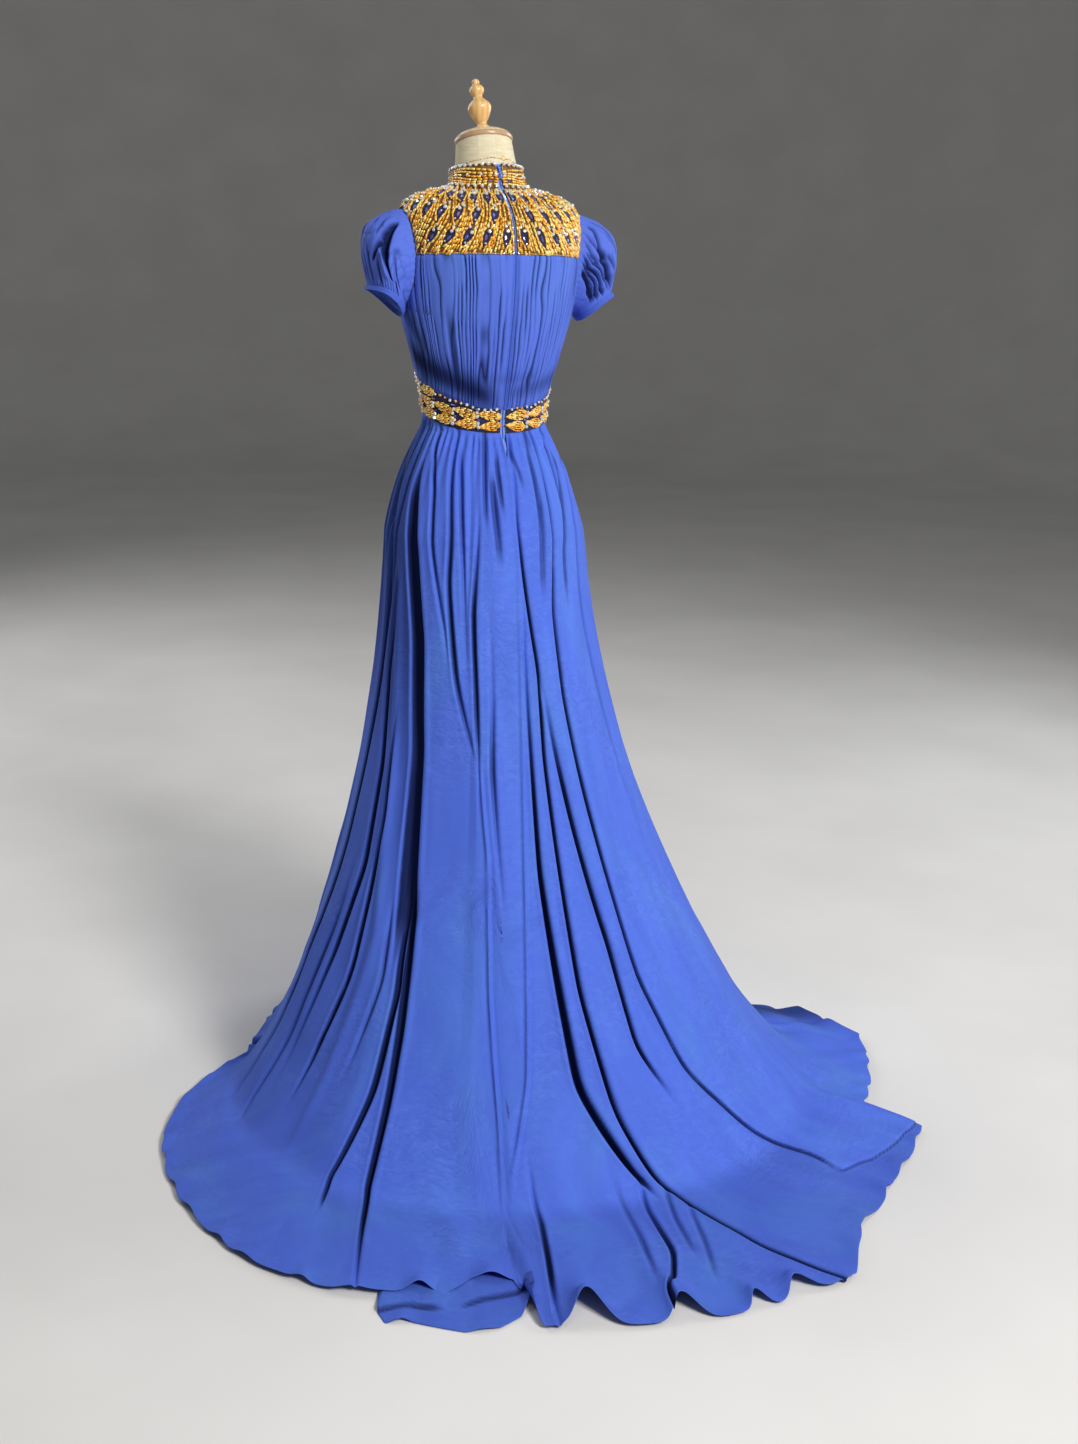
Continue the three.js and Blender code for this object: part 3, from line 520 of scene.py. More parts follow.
# ------------------------------------------------------------------ skirt
# direction, where the cloth meets the floor, how far out it ends, and how late it swings out
REACHES = np.array([
    (-180, 345, 335, 2.4), (-125, 375, 375, 2.4), (-92, 450, 490, 2.2), (-84, 480, 550, 2.1),
    (-80, 495, 645, 2.05), (-68, 540, 740, 1.95), (-45, 615, 740, 1.9), (-43, 620, 840, 1.9),
    (-30, 640, 850, 1.8), (-20, 648, 885, 1.7), (-14, 650, 960, 1.7), (-2, 650, 950, 1.7),
    (12.5, 650, 920, 1.7), (14, 648, 815, 1.7), (18, 644, 810, 1.7), (20, 642, 838, 1.75),
    (30, 628, 860, 1.8), (40, 606, 832, 1.85), (53, 565, 755, 2.0), (67, 508, 662, 2.15),
    (80, 440, 556, 2.3), (94, 385, 420, 2.4), (111, 365, 388, 2.4), (180, 345, 335, 2.4),
], float)
FLOOR_CLOTH = 0.005
LANDING_ROUND = 0.040
SKIRT_EASE = {"waist": 0.0042, "hip": 0.017}
SEAM_GAP = 0.0003
LOWEST_CLOTH = 0.0012  # metres over the floor
UPPER_LAYER_RISE = 5.5  # mm that the upper layer of the train stands over the lower one
AIR_UNDER_TRAIN = 15  # mm that air under the cloth on the floor holds it up
FINE_GATHERS = {"round": 58, "high": 2.3, "fade": 0.055}
SIDE_SHADE = {"upper": 0.62, "all": 0.17}  # painted shade beyond the deep fold at the left: in its upper part, and over all of it
UNDER_SHADE = 0.26  # how much shade is painted over the whole under-layer


def turned(angle):
    """An angle brought between -180 and 180 degrees."""
    return (np.asarray(angle, float) + 180) % 360 - 180


def reach_at(direction):
    at = turned(direction)
    landing, hem, power = (np.interp(at, REACHES[:, 0], REACHES[:, k]) for k in (1, 2, 3))
    return landing * MM, hem * MM, power


def hip_point(direction, level):
    near_waist = np.clip((level - HIP) / (WAIST - HIP), 0, 1)
    point = body_point(direction, level)
    point[..., 2] = 0
    long = np.linalg.norm(point, axis=-1)
    ease = SKIRT_EASE["hip"] + (SKIRT_EASE["waist"] - SKIRT_EASE["hip"]) * near_waist**4
    return point * ((long + ease) / long)[..., None]


def longest_fall(direction):
    landing, hem, power = reach_at(direction)
    hip = np.linalg.norm(hip_point(direction, np.full(np.shape(direction), float(HIP))), axis=-1)
    return ((hem - hip) / (landing - hip)) ** (1 / power)


def skirt_form(direction, fall):
    """The smooth form of the skirt, before its folds."""
    direction, fall = np.broadcast_arrays(np.asarray(direction, float), np.asarray(fall, float))
    landing, _, power = reach_at(direction)
    hip = np.linalg.norm(hip_point(direction, np.full(direction.shape, float(HIP))), axis=-1)
    hanging = (band_bottom(direction) - SEAM_GAP) * (1 - fall)
    hugging = hip_point(direction, np.clip(level_at(hanging), HIP, NECK_TOP))
    reach = np.linalg.norm(hugging, axis=-1) + (landing - hip) * np.maximum(fall, 0) ** power
    over_floor = hanging - FLOOR_CLOTH
    settled = FLOOR_CLOTH + (over_floor + np.hypot(over_floor, LANDING_ROUND)) / 2
    height = settled + (hanging - settled) * np.clip((hanging - 0.2) / 0.2, 0, 1)
    point = unit(hugging) * reach[..., None]
    point[..., 2] = height
    return point


class Fold:
    """A fold that runs down the skirt. Each list holds (fall, value) keys: path in degrees; half, wall
    and depth in mm. It is a channel with half its width on each side of its path and soft walls; a
    depth below 0 makes a ridge. A slot has a right and a left edge in place of path and half. laps pull
    the left and right lips over it, lip raises them, and dark is how much shade is painted inside it,
    from 0 to 1."""

    def __init__(self, path, depth, half=2.0, wall=2.6, lip=0.15, laps=(0.0, 0.0), dark=None, edge=None,
                 softness=0.03):
        as_keys = lambda value: value if isinstance(value, (list, tuple)) else [(0, value)]
        self.path = keyed(path, softness)
        self.edge = keyed(edge, softness) if edge else None
        self.depth = keyed(as_keys(depth))
        self.half = keyed(as_keys(half))
        self.wall = keyed(as_keys(wall))
        self.lip = lip
        self.laps = laps
        self.dark = keyed(as_keys(dark)) if dark is not None else None

    def across(self, direction, fall, radius):
        """Millimetres to the left of the fold's middle, and half its width."""
        if self.edge is None:
            return np.radians(turned(direction - self.path(fall))) * radius / MM, self.half(fall)
        right, left = self.path(fall), self.edge(fall)
        wide = np.maximum(np.radians(left - right) * radius / MM / 2 - self.wall(fall), 0.5)
        return np.radians(turned(direction - (right + left) / 2)) * radius / MM, wide

    def shape(self, direction, fall, radius):
        """How far out, and how far to the left, this fold moves a point, in mm; and how much shade is painted
        there.
        """
        x, half = self.across(direction, fall, radius)
        wall, depth = self.wall(fall), self.depth(fall)
        inside = (np.tanh((x + half) / wall) - np.tanh((x - half) / wall)) / (2 * np.tanh(half / wall))
        beyond = (np.abs(x) - half - 1.8 * wall) / (1.6 * wall)
        out = -depth * inside + self.lip * np.abs(depth) * bell(beyond)
        lap = np.where(x > 0, self.laps[0], self.laps[1]) * np.clip(np.abs(depth) / 15, 0, 1)
        aside = -np.sign(x) * lap * bell((np.abs(x) - half - 0.6 * wall) / (1.3 * wall))
        dark = self.dark(fall) if self.dark else step((np.abs(depth) - 2) / 10) * (depth > 0)
        dark = dark * np.clip(np.abs(depth) / 3, 0, 1)
        return out, aside, dark * step((inside - 0.03) / (0.30 + 0.6 * (1 - dark)))


# Folds that show from the back, by name, from the wearer's left to the right.
BACK_FOLDS = {
    "left slot": Fold([(0.03, 67), (0.15, 55.5), (0.3, 42), (0.45, 35.5), (0.7, 30.5)],
                      [(0.03, 0), (0.1, 9), (0.3, 16), (0.65, 16), (0.73, 0)],
                      edge=[(0.1, 70), (0.2, 62.5), (0.3, 52), (0.45, 42), (0.7, 36)],
                      wall=2.8, lip=0.12, laps=(0, 3), dark=[(0.04, 0), (0.1, 1), (0.68, 1), (0.74, 0)]),
    "left slot right": Fold([(0.62, 32.5), (0.8, 31), (1.0, 31), (1.25, 28)],
                            [(0.62, 0), (0.7, 15), (1.0, 15), (1.27, 2)],
                            half=[(0.7, 7), (1.0, 4), (1.2, 2)], wall=2.6, lip=0.12, laps=(0, 3)),
    "left slot left": Fold([(0.6, 35.5), (0.76, 33), (0.88, 34), (1.0, 37), (1.1, 36)],
                           [(0.6, 0), (0.7, 13), (0.8, 13), (1.05, 9), (1.1, 0)],
                           half=[(0.7, 3), (0.85, 3.5), (1.0, 2)], wall=2.6, lip=0.12),
    "left side valley": Fold([(0.4, 54), (0.55, 47), (0.75, 45.5), (0.95, 51)],
                             [(0.4, 0), (0.5, 12), (0.6, 16), (0.8, 16), (0.95, 0)], half=2.5, wall=3,
                             lip=0.2),
    "left upper valley": Fold([(0.2, 70), (0.35, 67), (0.48, 56.5), (0.62, 51.5), (0.9, 57)],
                              [(0.2, 0), (0.3, 9), (0.45, 14), (0.7, 12), (0.95, 0)], half=3, wall=4,
                              lip=0.2),
    "left far valley": Fold([(0.05, 92), (0.15, 84), (0.6, 68), (1.0, 70)],
                            [(0.05, 0), (0.12, 7), (0.4, 12), (0.8, 12), (1.05, 0)], half=3, wall=6, lip=0.2),
    "left side ridge": Fold([(0.1, 74), (0.2, 69.5), (0.5, 47.5), (0.7, 40.5), (1.0, 46)],
                            [(0.1, 0), (0.25, -5), (0.6, -8), (0.9, -5), (1.05, 0)], half=4, wall=9, lip=0),
    "left low crease": Fold([(0.65, 38.5), (0.75, 37), (0.9, 41)],
                            [(0.65, 0), (0.7, 7), (0.8, 7), (0.9, 0)], half=1.5, wall=3),
    "left low streak": Fold([(0.6, 57), (0.95, 61), (1.1, 61)], [(0.6, 0), (0.75, 8), (0.95, 5), (1.05, 0)],
                            half=2, wall=5),
    "first gather": Fold([(0.0, 62), (0.03, 59), (0.08, 50.5), (0.17, 45), (0.28, 33.5), (0.34, 29.5)],
                         [(0.0, 2), (0.04, 9), (0.14, 9), (0.22, 6), (0.34, 0)], half=1.8, wall=3,
                         dark=[(0.02, 0.2), (0.06, 0.5), (0.16, 0.45), (0.32, 0)]),
    "second gather": Fold([(0.0, 42), (0.15, 34.5), (0.21, 34), (0.35, 26.5), (0.46, 18)],
                          [(0.0, 3), (0.1, 10), (0.3, 13), (0.46, 0)], half=1.8, wall=2.8,
                          dark=[(0.02, 0.1), (0.18, 0.6), (0.32, 0.8), (0.46, 0.3)]),
    "third gather": Fold([(0.03, 35.5), (0.07, 31.5), (0.17, 27.5), (0.34, 22.5)],
                         [(0.02, 0), (0.06, 7), (0.12, 8), (0.34, 0)], half=1.6, wall=2.8,
                         dark=[(0.03, 0.2), (0.12, 0.45), (0.24, 0.2)]),
    "fourth gather": Fold([(0.1, 20), (0.25, 21), (0.35, 19), (0.5, 17)],
                          [(0.1, 0), (0.25, 10), (0.4, 9), (0.5, 0)], half=1.4, wall=2.4),
    "fifth gather": Fold([(0.26, 13.5), (0.37, 13), (0.46, 13.5), (0.68, 11.5)],
                         [(0.26, 0), (0.46, 8), (0.68, 0)], half=1.4, wall=3),
    "short gather": Fold([(0.0, 17), (0.14, 16)], [(0.0, 3), (0.03, 7), (0.08, 7), (0.13, 0)],
                         half=1.3, wall=2.6, dark=0.45),
    "shallow gather": Fold([(0.04, 25), (0.3, 23)], [(0.03, 0), (0.08, 3), (0.2, 3), (0.3, 0)], half=1.5,
                           wall=4),
    "zip gather": Fold([(0.0, 5.5), (0.04, 8), (0.12, 6)], [(0.02, 0), (0.07, 8), (0.11, 0)],
                       half=1.5, wall=2.4, dark=0.6, softness=0.015),
    "zip dimple": Fold([(0.06, 12), (0.2, 8.5)], [(0.06, 0), (0.09, 9), (0.13, 8), (0.18, 0)],
                       half=2.4, wall=3.4, dark=0.55),
    "left thin ridge": Fold([(0.44, 17.5), (0.58, 15), (0.75, 15), (0.9, 14), (1.05, 14)],
                            [(0.42, 0), (0.5, -4), (0.9, -4.5), (1.06, 0)], half=1.0, wall=2.2, lip=-0.25),
    "seam ridge": Fold([(0.0, -1), (0.17, 0), (0.6, 6.5), (0.85, 9.5), (0.97, 13)],
                       [(0.1, 0), (0.6, -4), (0.9, -5), (1.0, 0)], half=1.0, wall=2.2, lip=-0.25),
    "zip slant": Fold([(0.0, -2.5), (0.025, -3), (0.05, -7), (0.07, -8)],
                      [(0.01, 0), (0.05, 7), (0.07, 0)], half=1.3, wall=2.4, dark=0.5, softness=0.01),
    "centre valley": Fold([(0.2, -1.5), (0.3, 0), (0.6, 2.5), (0.86, 1.5), (1.0, -4.5)],
                          [(0.22, 0), (0.45, 9), (0.7, 20), (0.94, 22), (1.03, 0)],
                          half=[(0.3, 1.2), (0.5, 1.6), (0.75, 4.5), (0.93, 5), (1.0, 2)],
                          wall=[(0.3, 2.2), (0.95, 3.4)], lip=0.14, laps=(0, 3)),
    "right train valley": Fold([(0.05, -3.5), (0.13, -1.5), (0.33, -5), (0.45, -3), (0.75, -2), (0.9, -3.5),
                                (1.03, -7), (1.2, -9.5), (1.33, -13)],
                               [(0.05, 2), (0.2, 10), (0.5, 12), (0.7, 18), (0.95, 20), (1.34, 10)],
                               half=[(0.1, 1.4), (0.45, 1.6), (0.7, 2.6), (0.95, 2.8), (1.3, 2)],
                               wall=[(0.1, 2.3), (1.2, 3)], lip=0.14, laps=(0, 4)),
    "right short valley": Fold([(0.3, -4.5), (0.4, -6.5), (0.7, -10), (0.83, -10), (0.9, -13.5)],
                               [(0.32, 0), (0.55, 15), (0.8, 17), (0.92, 0)],
                               half=[(0.35, 1.2), (0.6, 2.4)], wall=2.7, lip=0.16, laps=(0, 3)),
    "right layer edge": Fold([(0.0, -29), (0.1, -25), (0.25, -16), (0.37, -14), (0.75, -14.5), (0.87, -17.5),
                              (1.0, -25), (1.1, -27)],
                             [(0.0, 3), (0.1, 10), (0.45, 14), (0.75, 7), (1.1, 5), (1.13, 0)],
                             half=[(0.1, 1.5), (0.5, 2.2), (0.65, 1.2), (0.8, 0.7)],
                             wall=[(0.1, 2.4), (0.5, 2.6), (0.75, 1.6)], lip=0.2, laps=(0, 3),
                             dark=[(0.0, 0.3), (0.2, 0.6), (0.35, 0.9), (0.55, 1), (0.7, 0.8)]),
    "right high gather": Fold([(0.0, -48), (0.04, -40), (0.14, -36)],
                              [(0.0, 3), (0.02, 8), (0.08, 8), (0.14, 0)],
                              half=1.6, wall=2.6, dark=0.5, softness=0.015),
    "right short gather": Fold([(0.0, -22), (0.03, -19), (0.14, -15.5)],
                               [(0.0, 3), (0.03, 7), (0.08, 8), (0.14, 0)], half=1.5, wall=2.6, dark=0.5),
    "right soft gather": Fold([(0.03, -50), (0.17, -30), (0.25, -26)],
                              [(0.03, 0), (0.08, 7), (0.16, 7), (0.25, 0)],
                              half=2, wall=3.6, dark=0.6),
    "right dimple": Fold([(0.07, -19), (0.15, -14.5), (0.23, -11.5)],
                         [(0.08, 0), (0.12, 6), (0.17, 6), (0.23, 0)],
                         half=2.4, wall=4, dark=0.5),
    "right broad ridge": Fold([(0.2, -8), (0.8, -12.5), (0.9, -15)],
                              [(0.2, 0), (0.35, -4), (0.8, -3), (0.9, 0)],
                              half=4, wall=8, lip=0),
    "right far gather": Fold([(0.0, -76), (0.13, -50), (0.25, -41), (0.6, -35)],
                             [(0.0, 2), (0.06, 6), (0.25, 5), (0.6, 0)], half=2.5, wall=6, dark=0.3),
    "right far valley": Fold([(0.1, -88), (0.3, -66), (0.5, -56), (0.7, -54), (1.1, -66)],
                             [(0.06, 0), (0.2, 7), (0.6, 8), (1.2, 0)], half=4, wall=12, dark=0.25),
    "hem crease": Fold([(0.92, 10.5), (1.05, 10), (1.25, 11)], [(0.93, 0), (1.05, 9), (1.18, 11), (1.26, 4)],
                       half=1.4, wall=2.6),
    "hem long crease": Fold([(0.96, -4), (1.05, -2.5), (1.17, -1.5), (1.27, 1.5), (1.34, 2)],
                            [(0.97, 0), (1.03, 7), (1.15, 10), (1.3, 12)], half=1.5, wall=2.6),
    "hem soft crease": Fold([(0.96, -0.5), (1.12, 0.5), (1.24, 2)], [(0.97, 0), (1.15, 7), (1.25, 0)],
                            half=1.6, wall=3.4, dark=0.5),
    "hem third crease": Fold([(1.0, -6.5), (1.09, -4.5), (1.2, -3)],
                             [(1.0, 0), (1.05, 5), (1.14, 5), (1.2, 0)],
                             half=1.4, wall=3, dark=0.5),
    "hem fourth crease": Fold([(1.05, -7.5), (1.26, -3)], [(1.05, 0), (1.12, 5), (1.2, 5), (1.26, 0)],
                              half=1.4, wall=3, dark=0.5),
    "lobe crease": Fold([(0.85, -62), (1.0, -68), (1.25, -75)], [(0.85, 0), (1.0, 6), (1.15, 6), (1.3, 3)],
                        half=3, wall=8, dark=0.2),
}


def side_gathers():
    """Gathers where the skirt isn't seen: unlike each other, and about as many as at the back."""
    random = np.random.default_rng(11)
    made = []
    for centre in np.arange(78, 292, 8.5):
        start = centre + random.uniform(-2.5, 2.5)
        drift = random.uniform(-5, 5)
        long = random.uniform(0.22, 0.5)
        deep = random.uniform(5, 9)
        made.append(Fold([(0, start), (0.2, start + drift), (0.6, start + 1.4 * drift)],
                         [(0, 1), (0.06, deep), (0.6 * long, deep), (long, 0)], half=2, wall=3.6))
    for centre, deep, power in ((98, 16, 8), (128, 18, 9), (150, 12, 9), (172, 18, 10), (196, 13, 9),
                                (222, 18, 9), (245, 13, 8), (262, 18, 8), (284, 16, 8)):
        drift = random.uniform(-4, 4)
        made.append(Fold([(0, centre), (0.5, centre + drift), (1.05, centre + 1.3 * drift)],
                         [(0.1, 0), (0.35, 0.6 * deep), (0.8, deep), (1.05, 0.9 * deep)],
                         half=4, wall=power, lip=0.25, dark=0.6, softness=0.08))
    return made


FOLDS = list(BACK_FOLDS.values()) + side_gathers()

# Flutes of the hem: direction at the hem, half width in degrees, height and pull inward in mm, and how
# far up the cloth the flute reaches, in mm.
FLUTES = [
    (8.5, 1.5, 32, 46, 150), (1, 1.25, 25, 34, 210), (-5, 0.8, 16, 24, 110), (-9, 1.3, 17, 30, 120),
    (13, 0.4, 22, 46, 70), (16, 1.6, 13, 4, 90), (22.5, 1.2, 14, 10, 80),
]


def small_back_flutes():
    """The low flutes of the train, where it lies on the floor."""
    random = np.random.default_rng(15)
    return [(centre + random.uniform(-1, 1), random.uniform(0.9, 1.9), random.uniform(4, 7),
             random.uniform(4, 7), random.uniform(60, 80))
            for centre in [*np.arange(-78, -16, 5.6), *np.arange(28, 90, 5.6)]]


def random_hem_flutes():
    random = np.random.default_rng(5)
    return [(centre + random.uniform(-2, 2), random.uniform(3.5, 5.5), random.uniform(4, 9),
             random.uniform(3, 6), random.uniform(60, 140)) for centre in np.arange(94, 270, 11.0)]


ALL_FLUTES = FLUTES + small_back_flutes() + random_hem_flutes()


def on_upper_layer(direction, fall, radius):
    """1 on the layer that lies on top at the right of the train, and 0 off it."""
    edge = BACK_FOLDS["right layer edge"].path(fall)
    beside = step(0.5 + np.radians(turned(edge - direction)) * radius / 0.005)
    kept = np.interp(direction, [-44, -32, -25, -19], [6, 48, 95, 190]) * MM
    short = np.where(direction < -45, 1.0, step(0.5 + (longest_fall(direction) - fall - kept) / 0.007))
    return beside * short * step((fall - 0.5) / 0.3) * step((direction + 90) / 30)


def skirt_surface(direction, fall):
    """Points of the folded skirt, and how much shade is painted on each, from 0 to 1."""
    direction, fall = np.broadcast_arrays(np.asarray(direction, float), np.asarray(fall, float))
    base = skirt_form(direction, fall)
    tangent = unit(skirt_form(direction + 0.4, fall) - skirt_form(direction - 0.4, fall))
    top = np.maximum(fall, 0.004)
    downward = unit(skirt_form(direction, top + 0.004) - skirt_form(direction, top - 0.004))
    normal = unit(np.cross(tangent, downward))
    radius = np.hypot(base[..., 0], base[..., 1])
    out, aside, shade = np.zeros(fall.shape), np.zeros(fall.shape), np.zeros(fall.shape)
    for fold in FOLDS:
        moved, shifted, dark = fold.shape(direction, fall, radius)
        out += moved
        aside += shifted
        shade = np.maximum(shade, dark)
    layer = on_upper_layer(direction, fall, radius)
    out += UPPER_LAYER_RISE * layer
    # a painted shadow along the edge of the train's upper layer, where it lies on the floor
    shade = np.maximum(shade, 0.85 * bell((layer - 0.35) / 0.3) * step((fall - 1.0) / 0.06))
    # painted shade on the layer beyond the deep fold at the left, darkest in its upper part
    behind = step((direction - BACK_FOLDS["left slot"].edge(fall) + 1) / 4) * step((150 - direction) / 50)
    high = step((0.62 - fall) / 0.42) * step((fall + 0.05) / 0.12)
    shade = np.maximum(shade, SIDE_SHADE["upper"] * behind * high)
    shade = np.maximum(shade, SIDE_SHADE["all"] * behind * step((fall - 0.2) / 0.3))
    opening = np.clip(1 - fall / 0.034, 0, 1) ** 0.7
    aside += 4.6 * np.sign(direction) * opening * np.exp(-np.abs(np.radians(direction)) * radius / 0.010)
    # soft swells, and the fine gathers that fade below the waistband
    along = np.radians(direction) * radius
    broad = smooth_noise(along / 0.075 + 7, fall * 3.2, 3) * 3.4
    swell = broad + smooth_noise(along / 0.035, fall * 6.5, 4) * 1.2
    out += swell * step(fall / 0.25)
    wander = 1.5 * smooth_noise(direction / 7, fall * 9, 6)
    fine = np.cos(np.radians(direction) * FINE_GATHERS["round"] + wander)
    out += FINE_GATHERS["high"] * fine * np.exp(-fall / FINE_GATHERS["fade"]) * step(fall / 0.015)
    # cloth on the floor holds air under it, and is thin again at the hem
    left = longest_fall(direction) - fall
    on_floor = step((fall - 0.86) / 0.14)
    out += AIR_UNDER_TRAIN * on_floor * step(left / 0.16) * step((longest_fall(direction) - 1.02) / 0.12)
    point = base + normal * (out * MM)[..., None] + tangent * (aside * MM)[..., None]
    # the flutes of the hem
    to_hem = left * 1.13
    outward = unit(np.stack([base[..., 0], base[..., 1], np.zeros(fall.shape)], -1))
    for centre, wide, height, pull, long in ALL_FLUTES:
        near = bell(turned(direction - centre) / wide) * step(1 - to_hem / (long * MM)) ** 1.3
        point[..., 2] += height * MM * near
        point -= outward * (pull * MM * near * step(1 - to_hem / (0.6 * long * MM)))[..., None]
    low = FLOOR_CLOTH * 0.5
    point[..., 2] = np.where(point[..., 2] < low, low + 0.002 * np.tanh((point[..., 2] - low) / 0.03) * 0.3,
                             point[..., 2])
    point[..., 2] = np.maximum(point[..., 2], LOWEST_CLOTH)
    highest = band_bottom(direction) - SEAM_GAP
    point[..., 2] = np.minimum(point[..., 2], highest)
    return point, np.clip(shade, 0, 1)


SEAMS = {
    "centre back": (0, 0, 0), "back left": (60, 36, 39), "back right": (-60, -44, -54),
    "front left": (112, 112, 112), "front right": (-112, -112, -112),
}
KNEE = 0.45


def seam_angle(name, down):
    waist, knee, hem = SEAMS[name]
    early = np.clip(down / KNEE, 0, 1)
    high = waist + (knee - waist) * early * (2 - early)
    return np.where(down < KNEE, high, knee + (hem - knee) * (down - KNEE) / (1 - KNEE))


def skirt_rows(count):
    """Shares of the way down, closer together near the waistband and the hem."""
    even = np.linspace(0, 1, count)
    return even - 0.055 * np.sin(2 * np.pi * even)


def skirt_panel(which, from_seam, to_seam, columns, rows, turn):
    """One panel. Its columns crowd together in the folds, so that they follow them down."""
    down = skirt_rows(rows)
    start, end = seam_angle(from_seam, down), seam_angle(to_seam, down) + turn
    if from_seam == "centre back":
        start = start + np.sign(end) * 1e-4  # on its own side of the opening
    direction = np.zeros((rows, columns))
    fall = np.zeros((rows, columns))
    for row in range(rows):
        fine = np.linspace(start[row], end[row], 1500)
        falls = down[row] * longest_fall(fine)
        radius = np.linalg.norm(skirt_form(fine, falls)[:, :2], axis=-1)
        crowd = np.ones(fine.size)
        for fold in FOLDS:
            x, half = fold.across(fine, falls, radius)
            strength = np.clip(np.abs(fold.depth(falls)) / 10, 0, 1)
            crowd += 2.6 * strength * bell((np.abs(x) - half) / (3.0 * fold.wall(falls)))
        total = np.concatenate([[0], np.cumsum((crowd[1:] + crowd[:-1]) / 2)])
        direction[row] = np.interp(np.linspace(0, total[-1], columns), total, fine)
        fall[row] = down[row] * longest_fall(direction[row])
    points, shade = skirt_surface(direction, fall)
    # the rolled hem: the last rows turn in under the edge
    edge = points[-1]
    inward = unit(points[-3] - edge)
    up = np.array([0.0, 0.0, 1.0])
    roll = [edge - inward * 0.0006 - up * 0.0004, edge + inward * 0.0004 - up * 0.0012,
            edge + inward * 0.0022 - up * 0.0010]
    points = np.concatenate([points, np.stack(roll)])
    points[..., 2] = np.maximum(points[..., 2], 0.0004)
    shade = np.concatenate([shade, np.repeat(shade[-1:], 3, 0)])
    # the fold attribute carries the painted shade into the cloth's colour
    panel = cloth("skirt_cloth_" + which, points, SKIRT_CHIFFON,
                  {"uv": cloth_uv(points), "fold": 0.94 * shade}, flip=end[0] > start[0])
    settle(panel, "gown", "chiffon", "skirt_" + which)


QUALITY = 1.0


def count(number):
    return max(8, int(number * QUALITY))


# each panel's seams, columns and rows, and the degrees added to the second seam to reach it round the front
SKIRT_PANELS = {
    "back_left": ("centre back", "back left", 250, 280, 0.0),
    "back_right": ("centre back", "back right", 290, 290, 0.0),
    "side_left": ("back left", "front left", 170, 160, 0.0),
    "side_right": ("back right", "front right", 160, 160, 0.0),
    "front": ("front left", "front right", 200, 110, 360.0),
}
for which, (from_seam, to_seam, columns, rows, turn) in SKIRT_PANELS.items():
    skirt_panel(which, from_seam, to_seam, count(columns), count(rows), turn)

# ------------------------------------------------------------------ underskirt hem
# its rim and the hem of the layer that lies on it, as (direction, reach in m), from right to left
UNDER_RIM = [(13.8, 0.835), (15.5, 0.89), (17.5, 0.915), (20.5, 0.925), (26, 0.905), (27.5, 0.915),
             (28.5, 0.89), (29.3, 0.80)]
UNDER_STEP = [(13.8, 0.83), (19, 0.85), (22, 0.875), (25.5, 0.87), (28.5, 0.89)]
UNDER = {"from": 13.8, "round": 15.5, "inside": 0.72, "step_wide": 0.0055}  # degrees and metres


def underskirt_hem():
    """The under-layer's edge, lying out past the main hem, with a second layer's hem on top of it."""
    rows, columns = count(44), count(130)
    share = (1 - np.cos(np.pi * np.linspace(0, 1, columns))) / 2
    out, along = np.meshgrid(np.linspace(0, 1, rows), share, indexing="ij")
    degrees = UNDER["from"] + UNDER["round"] * along
    bearing = np.radians(degrees)
    rim, hem = (keyed([(at / 20, value) for at, value in keys], 0.012)(degrees / 20)
                for keys in (UNDER_RIM, UNDER_STEP))
    reach = UNDER["inside"] + (rim - UNDER["inside"]) * out
    beyond = reach - hem
    layers = np.clip(np.abs(degrees - 21.8) / 1.6, 0.15, 1) * step((29.0 - degrees) / 0.6)
    height = 0.0020 + 0.0055 * layers * step(0.5 - beyond / 0.006)
    height += 0.005 * bell((degrees - 26.2) / 0.9) * step((out - 0.7) / 0.3)
    height += 0.004 * bell((degrees - 19.2) / 1.2) * step((out - 0.7) / 0.3)
    height += 0.012 * step((15.6 - degrees) / 1.6) * step((out - 0.3) / 0.5)
    height += 0.002 * smooth_noise(degrees / 2.5, reach / 0.04, 31) * out
    points = np.stack([reach * np.sin(bearing), reach * np.cos(bearing), height], -1)
    edge = points[-1]
    tuck = [edge + np.array([0, 0, -0.0009]),
            edge * np.array([0.997, 0.997, 1]) + np.array([0, 0, -0.0012])]
    points = np.concatenate([points, np.stack(tuck)])
    points[..., 2] = np.maximum(points[..., 2], 0.0006)
    # painted shadow along the upper layer's hem, painted shade at the right end, and painted shade over the
    # whole under-layer
    wide = UNDER["step_wide"]
    shade = 0.85 * layers * bell((beyond - 0.4 * wide) / wide)
    shade = np.maximum(shade, 0.55 * step((15.4 - degrees) / 1.2))
    shade = np.maximum(shade, UNDER_SHADE)
    shade = np.concatenate([shade, shade[-1:], shade[-1:]])
    piece = cloth("underskirt_edge", points, SKIRT_CHIFFON,
                  {"uv": cloth_uv(points), "fold": shade}, flip=True)
    settle(piece, "gown", "chiffon", "underskirt_hem")


underskirt_hem()

# ------------------------------------------------------------------ bodice
PLEATS_ROUND = 96
PLEAT_HIGH = 0.0046


